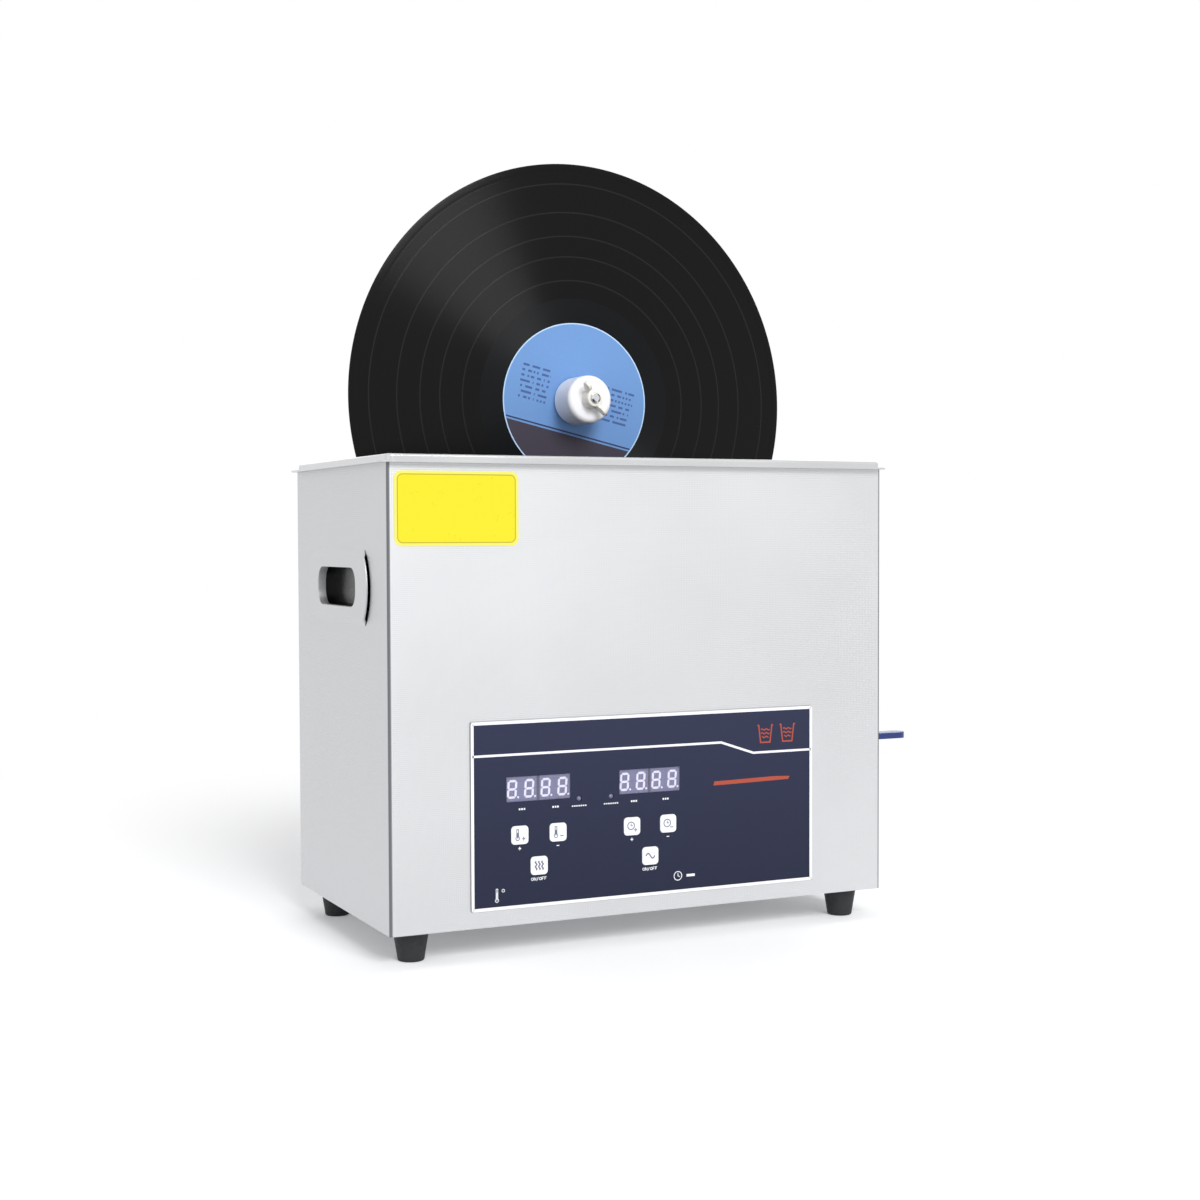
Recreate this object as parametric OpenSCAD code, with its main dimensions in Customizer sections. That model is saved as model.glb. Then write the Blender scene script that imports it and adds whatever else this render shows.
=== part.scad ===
// Record cleaning machine: a steel ultrasonic tank in a sheet-metal casing, with a motor drive on its
// rear rim that lowers a record into the tank and turns it. X runs across the front, Y from front to
// back and Z up, and the machine stands on Z = 0. Sizes are in millimetres.

/* [Casing] */
// Width of the casing, side to side
body_w = 325; // [322:1:345]
// Depth of the casing, front to back
body_d = 176; // [172:1:190]
// Height of the casing, without feet and rim
body_h = 264; // [256:1:285]
// Thickness of the casing's steel sheet
sheet_t = 0.8; // [0.6:0.1:1.2]
// Outer radius of the two bent front corners
bend_r = 2; // [1.6:0.1:4]
// Width of the folds that the back panel is screwed to
return_w = 11; // [9:0.5:16]
// Height of the rubber feet
foot_h = 18; // [12:1:24]
// Diameter of a foot where it meets the casing
foot_top_d = 21.5; // [18:0.5:26]
// Diameter of a foot where it stands
foot_base_d = 15.5; // [12:0.5:17]
// Distance of the feet's centres from the casing's sides
foot_inset_x = 18.5; // [14:0.5:24]
// Distance of the feet's centres from the casing's front and back
foot_inset_y = 18; // [14:0.5:24]

/* [Rim and tank] */
// Width of the rim between the casing's face and the tank's inside
rim_w = 12.5; // [12:0.5:14]
// Height of the raised rim above the casing
rim_h = 5; // [4:0.5:8]
// Thickness of the rim's steel sheet
rim_t = 1; // [0.8:0.1:1.5]
// How far the rim's flat flange stands out over the casing
overhang = 4.6; // [3:0.2:7]
// Radius of the rim's upright corners
rim_corner_r = 4; // [3.5:0.5:7]
// Radius of the rim's rounded top edge
rim_edge_r = 1.6; // [1.2:0.1:2]
// Depth of the tank below the rim's top
tank_depth = 150; // [142:1:156]
// Thickness of the tank's steel sheet
tank_t = 0.8; // [0.6:0.1:1.2]
// Radius of the tank's upright corners, on the inside
tank_corner_r = 20; // [17:1:26]
// Radius between the tank's walls and its floor
tank_floor_r = 12; // [8:1:15]
// Width of the tank's own flange under the rim
tank_flange_w = 8; // [5:0.5:9]

/* [Side handles] */
// Distance of the handles' centre below the casing's top
handle_drop = 70.5; // [60:0.5:90]
// Length of the raised bridge that the finger slot is cut in
bridge_l = 114; // [104:1:124]
// Height of the raised bridge
bridge_h = 44; // [40:1:50]
// How far the bridge stands proud of the side
bridge_rise = 2.2; // [1.6:0.1:3]
// Height of the slope at the bridge's upper and lower edge
bridge_ramp = 4; // [3:0.5:6]
// Width of the curved slits at the bridge's ends
slit_w = 0.9; // [0.6:0.1:1.5]
// Length of the finger slot
slot_l = 73; // [66:1:80]
// Height of the finger slot
slot_h = 23; // [20:1:27]
// Corner radius of the finger slot
slot_r = 9; // [6:0.5:9.5]
// Depth of the finger slot's turned-in lip
lip_d = 4; // [2.5:0.5:5]
// Depth of the plastic finger cup behind the slot
cup_d = 9; // [7:0.5:9]
// Wall of the finger cup
cup_t = 1; // [0.8:0.1:1.5]

/* [Control panel] */
// Width of the printed overlay
panel_w = 226; // [206:1:242]
// Height of the printed overlay
panel_h = 108; // [102:1:116]
// Height of the overlay's lower edge above the casing's lower edge
panel_lift = 9.7; // [7:0.1:18]
// Thickness of the overlay
overlay_t = 0.8; // [0.6:0.1:1.2]
// Distance of the temperature group's centre from the overlay's left edge
temp_inset = 41.75; // [38:0.25:46]
// Distance between the centres of the temperature and the time group
group_pitch = 71.75; // [66:0.25:78]
// Height of the displays' centre above the overlay's lower edge
display_row = 68.5; // [65:0.1:72]
// Height of the four setting keys above the overlay's lower edge
key_row = 42.1; // [40.5:0.1:44]
// Height of the two switch keys above the overlay's lower edge
switch_row = 23.7; // [22:0.1:25.5]
// Height of the indicator lamps above the overlay's lower edge
lamp_row = 60.7; // [59:0.1:64]
// Distance of an indicator lamp from its group's centre
lamp_offset = 25.6; // [24.5:0.1:27]
// Diameter of an indicator lamp
lamp_d = 3; // [2.5:0.5:3.5]
// Distance between two neighbouring setting keys
key_pitch = 24; // [20:0.5:26]
// Width and height of a key
key_size = 10.6; // [9.6:0.1:13]
// Corner radius of a key
key_r = 2.2; // [1.5:0.1:3]
// How far a key stands out of the overlay
key_proud = 0.45; // [0.3:0.05:0.7]
// How far a key travels when it is pressed
key_travel = 0.5; // [0.3:0.05:0.7]
// Width of a display window, which holds two digit modules
display_w = 40; // [38:0.5:42]
// Height of a display window
display_h = 14.3; // [13:0.1:16]
// Gap between the two digit modules of a display
module_gap = 1.8; // [1.2:0.1:2.4]
// Distance of the control board behind the casing's front
board_gap = 9; // [8:0.5:12]
// Thickness of the circuit boards
board_t = 1.6; // [1.2:0.1:2]

/* [Drain valve] */
// Place of the drain behind the casing's middle
drain_y = 45; // [38:1:48]
// Distance of the tank's drain hole from the casing's side
drain_inset = 44.5; // [42.5:0.5:48]
// Height of the valve above the casing's lower edge
valve_lift = 51; // [46:1:56]
// Bore of the drain, from tank to nozzle
drain_bore = 10; // [8:0.5:11]
// Distance of the valve's stem from the casing's side
stem_reach = 31; // [29:0.5:36]
// Diameter of the valve's ball
ball_d = 17; // [16:0.5:18]
// Diameter of the valve's stem
stem_d = 7; // [6:0.5:8]
// Diameter of the round body over the ball
chamber_d = 27; // [26:0.5:32]
// Height of the lever's outer end above the bore's centre
lever_rise = 28.5; // [27.5:0.5:34]
// Length of the lever from the stem to its tip
lever_l = 77.5; // [65:0.5:95]
// Width of the lever
lever_w = 11; // [9:0.5:13]
// Thickness of the lever's steel
lever_t = 2.4; // [2:0.1:3]
// Thickness of the sleeve on the lever
sleeve_t = 0.9; // [0.6:0.1:1.3]
// Outer diameter of the hose nozzle
nozzle_d = 13; // [12.5:0.5:15]
// Length of the hose nozzle
nozzle_l = 22; // [16:1:26]
// Wall of the rubber drain hose
hose_wall = 2.2; // [1.6:0.1:2.8]

/* [Ultrasonics and electrics] */
// Diameter of a transducer's wide end
horn_d = 59; // [52:1:62]
// Diameter of a transducer's ceramic rings
piezo_d = 45; // [38:1:48]
// Distance between two neighbouring transducers
horn_pitch = 86; // [80:1:88]
// Length of a transducer's aluminium horn
horn_l = 31; // [26:1:34]
// Thickness of one ceramic ring
piezo_t = 5.5; // [4:0.5:7]
// Length of a transducer's steel back
back_l = 22; // [18:1:26]
// Thickness of the heating pads on the tank
pad_t = 2; // [1.5:0.1:3]
// Width of the square fan
fan_size = 60; // [58:1:62]
// Thickness of the fan
fan_t = 15; // [12:1:18]
// Place of the fan, left of the middle when seen from the front
fan_x = -78; // [-88:1:-70]
// Height of the fan's centre above the casing's lower edge
fan_lift = 48; // [44:1:54]
// Place of the mains inlet, right of the middle when seen from the front
inlet_x = 56; // [48:1:60]
// Height of the mains inlet's centre above the casing's lower edge
inlet_lift = 50; // [44:1:56]

/* [Record drive] */
// Width of the hooked bracket on the rear rim
bracket_w = 110; // [106:1:130]
// Thickness of the bracket's steel
bracket_t = 2.5; // [2:0.1:3]
// Depth of the bracket's lip inside the tank
hook_drop = 22; // [15:1:28]
// Length of the bracket's leg below the rim's top
leg_drop = 82; // [76:1:95]
// Height of the clamp screws below the rim's top
clamp_drop = 62; // [58:1:68]
// Distance of each clamp screw from the middle
clamp_x = 34; // [28:1:40]
// Diameter of the clamp screws and of the lock screw
screw_d = 6; // [5:0.5:7]
// Diameter of a star knob
knob_d = 26; // [22:1:30]
// Diameter of a guide rod
rod_d = 10; // [8:0.5:11]
// Distance of each guide rod from the middle
rod_x = 38; // [36:0.5:40]
// Length of a guide rod
rod_l = 190; // [182:1:205]
// Travel of the carriage up the rods
lift_travel = 115; // [100:1:116]
// Height of the carriage housing
carriage_h = 56; // [52:1:60]
// Depth of the carriage housing, front to back
carriage_d = 58; // [55:1:66]
// Wall of the carriage housing
carriage_wall = 3; // [2.5:0.1:4]
// Diameter of the gear motor
motor_d = 36; // [32:1:40]
// Length of the gear motor
motor_l = 45; // [38:1:46]

/* [Spindle and record] */
// Height of the spindle above the rim's top
spindle_h = 40; // [39:0.5:46]
// Place of the record behind the tank's middle
record_y = 18; // [10:1:22]
// Radius of the record
record_r = 150.7; // [149:0.1:151]
// Thickness of the record under its label
record_t = 2; // [1.8:0.1:2.4]
// Thickness of the record in its grooves
groove_t = 1.5; // [1.3:0.1:1.7]
// Radius of the record's paper label
label_r = 50; // [45:1:52]
// Thickness of the paper label
label_t = 0.15; // [0.1:0.05:0.2]
// Radius where the playing grooves end
runout_r = 62; // [57:1:70]
// Width of the record's plain outer edge
bead_w = 3.8; // [2.5:0.1:6]
// Diameter of the spindle
spindle_d = 7; // [6.6:0.1:7.1]
// Diameter of the spindle's threaded end
thread_d = 6; // [5:0.5:6]
// Diameter of the two white hubs that clamp the record
hub_d = 30; // [26:1:36]
// Length of the front hub
hub_l = 22; // [16:1:26]
// Length of the rear hub
rear_hub_l = 14; // [10:1:18]
// Thickness of the rubber gasket behind the front hub
gasket_t = 1.5; // [1:0.1:2.5]
// Distance between the wing nut's tips
wing_span = 25; // [20:1:28]
// Thickness of the wing nut's wings
wing_t = 3; // [2.4:0.1:4]

/* [Hidden] */
$fn = 48;

// Clearances and small sizes that several pieces share
slide_gap = 0.06;
fit_gap = 0.05;
loose_gap = 0.2;
run_gap = 0.3;
cut = 1;
screw_r = 1.5;
screw_head_r = 3;
screw_head_h = 2;

// Levels and faces that several pieces share
floor_z = foot_h;
top_z = foot_h + body_h;
rim_z = top_z + rim_h;
side_x = body_w / 2;
back_y = body_d / 2;
back_in_y = back_y - sheet_t;
front_in_y = -back_y + sheet_t;
tank_l = body_w - 2 * rim_w;
tank_w = body_d - 2 * rim_w;
tank_floor_z = rim_z - tank_depth;
tank_under_z = tank_floor_z - tank_t;

// A rectangle with rounded corners, centred
module round_rect(w, h, r) {
    square([w - 2 * r, h], center = true);
    square([w, h - 2 * r], center = true);
    for (x = [-1, 1], y = [-1, 1]) translate([x * (w / 2 - r), y * (h / 2 - r)]) circle(r);
}

// A slot with half-round ends, centred, with its length along X
module slot(l, w) {
    square([l - w, w], center = true);
    for (x = [-1, 1]) translate([x * (l - w) / 2, 0]) circle(w / 2);
}

// A screw's clearance hole, flat
module screw_hole() {
    circle(screw_r + loose_gap);
}

// Stands a flat shape up across the machine, from y towards the back
module across(y, t) {
    translate([0, y + t, 0]) rotate([90, 0, 0]) linear_extrude(t) children();
}

// Stands a flat shape up from front to back, from x towards the right
module along(x, t) {
    translate([x, 0, 0]) rotate([90, 0, 90]) linear_extrude(t) children();
}

// Makes a shape that grows up Z grow from the point towards the front
module to_front(x, y, z) {
    translate([x, y, z]) rotate([90, 0, 0]) children();
}

// Makes a shape that grows up Z grow from the point towards the back
module to_back(x, y, z) {
    translate([x, y, z]) rotate([-90, 0, 0]) children();
}

// Makes a shape that grows up Z grow from the point towards the right
module to_right(x, y, z) {
    translate([x, y, z]) rotate([0, 90, 0]) children();
}

// Makes a shape that grows up Z grow along the valve's axis, from x to the right
module on_valve(x) {
    to_right(x, drain_y, valve_z) children();
}

// Makes a shape that grows up Z grow along the spindle's axis, from y to the front
module on_spindle(y) {
    to_front(0, y, spindle_z) children();
}

// A ring that grows up Z
module ring(r_out, r_in, h) {
    difference() {
        cylinder(r = r_out, h = h);
        translate([0, 0, -cut]) cylinder(r = r_in, h = h + 2 * cut);
    }
}

// A block with round upright corners and a rounded edge round its top
module soft_top_block(w, d, h, r, edge) {
    linear_extrude(h - edge) round_rect(w, d, r);
    translate([0, 0, h - edge]) {
        linear_extrude(edge) round_rect(w - 2 * edge, d - 2 * edge, r - edge);
        for (s = [-1, 1]) {
            translate([0, s * (d / 2 - edge), 0]) rotate([0, 90, 0])
                cylinder(r = edge, h = w - 2 * r, center = true);
            translate([s * (w / 2 - edge), 0, 0]) rotate([90, 0, 0])
                cylinder(r = edge, h = d - 2 * r, center = true);
        }
        for (x = [-1, 1], y = [-1, 1]) translate([x * (w / 2 - r), y * (d / 2 - r), 0])
            rotate_extrude() translate([r - edge, 0]) intersection() {
                circle(edge);
                square(edge);
            }
    }
}

// A star knob that grows up Z, with its grip notches
module star_knob(h, notches) {
    difference() {
        cylinder(d = knob_d, h = h);
        for (i = [0:notches - 1]) rotate(i * 360 / notches) translate([knob_d * 0.6, 0, -cut])
            cylinder(d = knob_d / 3.6, h = h + 2 * cut);
    }
}

// Casing: handle and hole places that the shell, the cups and the back panel share
handle_z = top_z - handle_drop;
handle_arc_bulge = 9;
cup_w = slot_l + 2 * (sheet_t + fit_gap + cup_t);
cup_h = slot_h + 2 * (sheet_t + fit_gap + cup_t);
cup_flange = 4;
fan_z = floor_z + fan_lift;
fan_hole_r = fan_size / 2 - 2;
fan_bolt = fan_size / 2 - 5;
inlet_z = floor_z + inlet_lift;
inlet_w = 28;
inlet_h = 62;
valve_z = floor_z + valve_lift;
panel_x = -1.25;
panel_z = floor_z + panel_lift;
temp_x = panel_x - panel_w / 2 + temp_inset;
time_x = temp_x + group_pitch;
drain_x = side_x - drain_inset;
key_hole = key_size + 2 * loose_gap;
lamp_hole_r = lamp_d / 2 + loose_gap;
back_screw_inset = 5.5;
back_screw_rows = [0.06, 0.36, 0.66, 0.94];
back_screw_x = side_x - back_screw_inset;
back_screws = [for (s = [-1, 1], k = back_screw_rows) [s * back_screw_x, floor_z + k * body_h]];
foot_spots = [for (x = [-1, 1], y = [-1, 1]) [x * (side_x - foot_inset_x), y * (back_y - foot_inset_y)]];
board_y = front_in_y + board_gap;
board_pad = 9;
board_x0 = temp_x - display_w / 2 - board_pad;
board_x1 = time_x + display_w / 2 + board_pad;
board_z0 = panel_z + switch_row - key_size / 2 - board_pad;
board_z1 = panel_z + display_row + display_h / 2 + board_pad;
board_stud_r = 2.5;
stud_web = 2;
board_studs = [for (x = [board_x0 + 4, board_x1 - 4], z = [board_z0 + 4, board_z1 - 4]) [x, z]];

// The spots of the panel's keys, lamps and display windows, as [x, z]
key_z = panel_z + key_row;
switch_z = panel_z + switch_row;
key_spots = [
    [temp_x - key_pitch / 2, key_z], [temp_x + key_pitch / 2, key_z], [temp_x, switch_z],
    [time_x - key_pitch / 2, key_z], [time_x + key_pitch / 2, key_z], [time_x, switch_z],
];
lamp_spots = [for (x = [temp_x + lamp_offset, time_x - lamp_offset]) [x, panel_z + lamp_row]];
window_spots = [for (x = [temp_x, time_x]) [x, panel_z + display_row]];

// The cut-outs that the overlay and the casing's front have in common
module panel_holes() {
    for (p = key_spots) translate(p) round_rect(key_hole, key_hole, key_r + loose_gap);
    for (p = lamp_spots) translate(p) circle(lamp_hole_r);
    for (p = window_spots) translate(p) square([display_w, display_h], center = true);
}

// The plan of a block whose two front corners are rounded
module front_rounded(x, y_front, y_rear, r) {
    translate([-x, y_front + r]) square([2 * x, y_rear - y_front - r]);
    translate([-x + r, y_front]) square([2 * (x - r), 2 * r]);
    for (s = [-1, 1]) translate([s * (x - r), y_front + r]) circle(r);
}

// The side view of a bridge: straight top and bottom edges and bulging ends
module bridge_outline(l, h) {
    arc_r = (h * h / 4 + handle_arc_bulge * handle_arc_bulge) / (2 * handle_arc_bulge);
    square([l - 2 * handle_arc_bulge, h], center = true);
    for (s = [-1, 1]) intersection() {
        translate([s * (l / 2 - arc_r), 0]) circle(arc_r, $fn = 96);
        translate([s * l / 4, 0]) square([l / 2, h], center = true);
    }
}

// One raised bridge with its finger slot, on the right-hand side of the casing
module bridge() {
    half = bridge_h / 2;
    difference() {
        union() {
            intersection() {
                translate([side_x, bridge_l / 2, handle_z]) rotate([90, 0, 0])
                    linear_extrude(bridge_l) polygon([
                        [-sheet_t, -half], [0, -half], [bridge_rise, -half + bridge_ramp],
                        [bridge_rise, half - bridge_ramp], [0, half], [-sheet_t, half],
                        [bridge_rise - sheet_t, half - bridge_ramp - sheet_t / 2],
                        [bridge_rise - sheet_t, -half + bridge_ramp + sheet_t / 2],
                    ]);
                along(side_x - 2 * sheet_t, bridge_rise + 3 * sheet_t) translate([0, handle_z])
                    bridge_outline(bridge_l, bridge_h);
            }
            along(side_x + bridge_rise - sheet_t - lip_d, lip_d + sheet_t / 2) translate([0, handle_z])
                round_rect(slot_l + 2 * sheet_t, slot_h + 2 * sheet_t, slot_r + sheet_t);
        }
        along(side_x - lip_d - cut, lip_d + bridge_rise + 2 * cut) translate([0, handle_z])
            round_rect(slot_l, slot_h, slot_r);
    }
}

// Front and sides of the casing, bent from one sheet, with folds at the back
module outer_shell() {
    color("gainsboro") {
        difference() {
            translate([0, 0, floor_z]) linear_extrude(body_h) difference() {
                front_rounded(side_x, -back_y, back_in_y, bend_r);
                front_rounded(side_x - sheet_t, front_in_y, back_in_y - sheet_t, bend_r - sheet_t);
                translate([-(side_x - return_w), 0]) square([2 * (side_x - return_w), back_y]);
            }
            across(-back_y - cut, sheet_t + 2 * cut) panel_holes();
            for (s = [-1, 1]) translate([s < 0 ? -2 * side_x : 0, 0, 0])
                along(side_x - 2 * sheet_t, 4 * sheet_t) translate([0, handle_z])
                    bridge_outline(bridge_l + 2 * slit_w, bridge_h - sheet_t / 4);
            on_valve(side_x - 2 * sheet_t) cylinder(r = valve_thread_r + loose_gap, h = 4 * sheet_t);
            for (p = back_screws) to_back(p[0], back_in_y - 2 * sheet_t, p[1])
                cylinder(r = screw_r, h = 4 * sheet_t);
        }
        for (s = [0, 1]) mirror([s, 0, 0]) bridge();
        for (p = board_studs) to_back(p[0], front_in_y, p[1]) difference() {
            cylinder(r = board_stud_r, h = board_gap);
            translate([0, 0, stud_web]) cylinder(r = screw_r, h = board_gap);
        }
    }
}

inlet_bolt = inlet_h / 2 + 4;
vent_count = 6;
vent_x = 88;
vent_drop = 72;
vent_pitch = 7;
vent_l = 46;
vent_h = 3;
// Rear wall, screwed to the shell's folds, cut out for the fan and the mains inlet
module back_panel() {
    color("gainsboro") across(back_in_y, sheet_t) difference() {
        translate([-side_x, floor_z]) square([body_w, body_h]);
        for (p = back_screws) translate(p) screw_hole();
        translate([fan_x, fan_z]) {
            circle(fan_hole_r);
            for (x = [-1, 1], z = [-1, 1]) translate([x * fan_bolt, z * fan_bolt]) screw_hole();
        }
        translate([inlet_x, inlet_z])
            square([inlet_w + 2 * loose_gap, inlet_h + 2 * loose_gap], center = true);
        for (z = [-1, 1]) translate([inlet_x, inlet_z + z * inlet_bolt]) screw_hole();
        for (g = [-1, 1], i = [0:vent_count - 1]) translate([g * vent_x, top_z - vent_drop + i * vent_pitch])
            slot(vent_l, vent_h);
    }
}

pan_edge = 9;
pan_vent_y = -(vent_count - 1) / 2 * vent_pitch;
// Bottom pan inside the shell, with upturned edges and cooling slots
module bottom_plate() {
    color("silver") {
        pan_w = body_w - 2 * sheet_t - 2 * fit_gap;
        pan_d = body_d - 2 * sheet_t - 2 * fit_gap;
        difference() {
            translate([0, 0, floor_z]) linear_extrude(pan_edge) round_rect(pan_w, pan_d, bend_r);
            translate([0, 0, floor_z + sheet_t]) linear_extrude(pan_edge)
                round_rect(pan_w - 2 * sheet_t, pan_d - 2 * sheet_t, bend_r - sheet_t);
            translate([0, 0, floor_z - cut]) linear_extrude(sheet_t + 2 * cut) {
                for (p = foot_spots) translate(p) screw_hole();
                for (g = [-1, 1], i = [0:vent_count - 1])
                    translate([g * vent_x, pan_vent_y + i * vent_pitch]) slot(vent_l, vent_h);
            }
            for (x = [-1, 1])
                translate([x * (side_x - return_w / 2), back_y - 2 * sheet_t, floor_z + pan_edge / 2])
                    cube([return_w + 2 * sheet_t, 4 * sheet_t, pan_edge + 2 * cut], center = true);
        }
    }
}

// Pressed rim: a flange on the casing and a raised band that the tank hangs from
module top_rim() {
    color("gainsboro") translate([0, 0, top_z]) difference() {
        union() {
            linear_extrude(rim_t)
                round_rect(body_w + 2 * overhang, body_d + 2 * overhang, rim_corner_r + overhang);
            soft_top_block(body_w, body_d, rim_h, rim_corner_r, rim_edge_r);
        }
        translate([0, 0, -cut]) linear_extrude(rim_h - rim_t + cut)
            round_rect(body_w - 2 * rim_t, body_d - 2 * rim_t, rim_corner_r - rim_t);
        linear_extrude(rim_h + cut) round_rect(tank_l, tank_w, tank_corner_r);
    }
}

// The tank's inside, or its outside where grow is its sheet
module tank_block(grow, h) {
    translate([0, 0, h]) mirror([0, 0, 1])
        soft_top_block(tank_l + 2 * grow, tank_w + 2 * grow, h, tank_corner_r + grow, tank_floor_r + grow);
}

// Deep-drawn tank with a flange under the rim and a drain hole in its floor
module tank() {
    color("lightgray") {
        inside_h = rim_z - rim_t - tank_floor_z;
        difference() {
            union() {
                translate([0, 0, tank_under_z]) tank_block(tank_t, inside_h + tank_t);
                translate([0, 0, rim_z - rim_t - tank_t]) linear_extrude(tank_t) offset(tank_flange_w)
                    round_rect(tank_l, tank_w, tank_corner_r);
            }
            translate([0, 0, tank_floor_z]) tank_block(0, inside_h + cut);
            translate([drain_x, drain_y, tank_under_z - cut])
                cylinder(r = fitting_r + loose_gap, h = tank_t + 2 * cut);
        }
    }
}

// Black plastic finger cups behind the two finger slots
module handle_cups() {
    color("dimgray") for (s = [0, 1]) mirror([s, 0, 0]) {
        cup_x = side_x - sheet_t;
        difference() {
            union() {
                along(cup_x - cup_d, cup_d) translate([0, handle_z]) round_rect(cup_w, cup_h, slot_r);
                along(cup_x - cup_t, cup_t) translate([0, handle_z])
                    round_rect(cup_w + 2 * cup_flange, bridge_h + 2 * cup_flange, slot_r);
            }
            along(cup_x - cup_d + cup_t, cup_d + cut) translate([0, handle_z])
                round_rect(cup_w - 2 * cup_t, cup_h - 2 * cup_t, slot_r - cup_t);
        }
    }
}

// Polyester front foil on the casing, open at its keys, lamps and displays
module panel_overlay() {
    color("midnightblue") across(-back_y - overlay_t, overlay_t) difference() {
        translate([panel_x, panel_z + panel_h / 2]) round_rect(panel_w, panel_h, 0.6);
        panel_holes();
    }
}

// Clear windows over the two displays
module display_windows() {
    color("lavender")
        for (p = window_spots) across(-back_y - overlay_t, overlay_t) translate(p)
            square([display_w - 2 * fit_gap, display_h - 2 * fit_gap], center = true);
}

// Two two-digit modules behind each window, soldered to the control board
module digit_modules() {
    color("slategray") for (p = window_spots, s = [-1, 1])
        across(-back_y + fit_gap, board_y + back_y - fit_gap)
            translate([p[0] + s * (display_w + module_gap) / 4, p[1]])
                square([(display_w - module_gap) / 2 - 2 * fit_gap, display_h - 2 * fit_gap], center = true);
}

// Indicator lamps with domed lenses, standing on the control board
module indicator_lamps() {
    color("aliceblue") for (p = lamp_spots) to_front(p[0], board_y, p[1]) {
        lamp_l = board_y + back_y;
        cylinder(r = lamp_d / 2, h = lamp_l);
        translate([0, 0, lamp_l]) sphere(lamp_d / 2);
        cylinder(r = lamp_d / 2 + 0.4, h = lamp_l - sheet_t - run_gap);
    }
}

key_flange_t = 1;
key_flange = 1.2;
switch_w = 6;
switch_body_h = 3.5;
switch_h = board_gap - key_flange_t - key_travel - loose_gap;
plunger_r = 1.7;
connector_l = 20;
connector_d = 8;
connector_h = 6;
connector_inset = 12;
buzzer_r = 6;
buzzer_h = 7;
buzzer_inset = 18;
// Control board with its controller, sockets, buzzer and six push switches
module control_board() {
    color("seagreen") {
        across(board_y, board_t) difference() {
            translate([board_x0, board_z0]) square([board_x1 - board_x0, board_z1 - board_z0]);
            for (p = board_studs) translate(p) screw_hole();
        }
        for (p = key_spots) to_front(p[0], board_y, p[1]) {
            translate([-switch_w / 2, -switch_w / 2, 0]) cube([switch_w, switch_w, switch_body_h]);
            cylinder(r = plunger_r, h = switch_h);
        }
        translate([(board_x0 + board_x1 - connector_l) / 2, board_y + board_t, (board_z0 + board_z1) / 2])
            cube([connector_l, 2.5, connector_d]);
        for (x = [board_x0 + connector_inset, board_x1 - connector_inset - connector_l])
            translate([x, board_y + board_t, board_z0 + connector_h / 2])
                cube([connector_l, connector_d, connector_h]);
        to_back(board_x0 + buzzer_inset, board_y + board_t, board_z1 - buzzer_inset)
            cylinder(r = buzzer_r, h = buzzer_h);
    }
}

// A key cap with the flange that keeps it behind the casing's front
module key_cap(i) {
    p = key_spots[i];
    key_face_y = -back_y - overlay_t - key_proud;
    translate([p[0], 0, p[1]]) {
        across(key_face_y, front_in_y - key_face_y) round_rect(key_size, key_size, key_r);
        across(front_in_y, key_flange_t)
            round_rect(key_hole + 2 * key_flange, key_hole + 2 * key_flange, key_r);
    }
}
module key_temp_up() { color("white") key_cap(0); }
module key_temp_down() { color("white") key_cap(1); }
module key_heater() { color("white") key_cap(2); }
module key_time_up() { color("white") key_cap(3); }
module key_time_down() { color("white") key_cap(4); }
module key_sonic() { color("white") key_cap(5); }

foot_edge = 1.2;
foot_collar = 2.2;
foot_web = 6;
// Tapered rubber feet, each with a recess for its screw
module feet() {
    color("black") for (p = foot_spots) translate(p) difference() {
        rotate_extrude() {
            polygon([
                [0, 0], [foot_base_d / 2 - foot_edge, 0], [foot_base_d / 2, foot_edge],
                [foot_top_d / 2 - 0.6, foot_h - foot_collar], [foot_top_d / 2, foot_h - foot_collar],
                [foot_top_d / 2, foot_h], [0, foot_h],
            ]);
            translate([foot_base_d / 2 - foot_edge, foot_edge]) circle(foot_edge);
        }
        translate([0, 0, -cut]) cylinder(r = screw_head_r + 1, h = foot_h - foot_web + cut);
        translate([0, 0, -cut]) cylinder(r = screw_r + fit_gap, h = foot_h + 2 * cut);
    }
}

// The electronics bay's own levels
bay_z = floor_z + sheet_t;
pcb_lift = 6;
pcb_z = bay_z + pcb_lift;
pcb_w = 150;
pcb_d = 84;
pcb_x = 8;
pcb_y = -14;
toroid_x = 50;
toroid_y = 18;
toroid_r = 7;
toroid_core_r = 11;
pcb_posts = [for (x = [-1, 1], y = [-1, 1]) [pcb_x + x * (pcb_w / 2 - 4), pcb_y + y * (pcb_d / 2 - 4)]];

// A round component that stands on the generator board, x and y from the board's middle
module can(x, y, r, h) {
    translate([pcb_x + x, pcb_y + y, pcb_z + board_t]) cylinder(r = r, h = h);
}

// A square component that stands on the generator board, placed by its middle
module block(x, y, w, d, h) {
    translate([pcb_x + x - w / 2, pcb_y + y - d / 2, pcb_z + board_t]) cube([w, d, h]);
}

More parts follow.
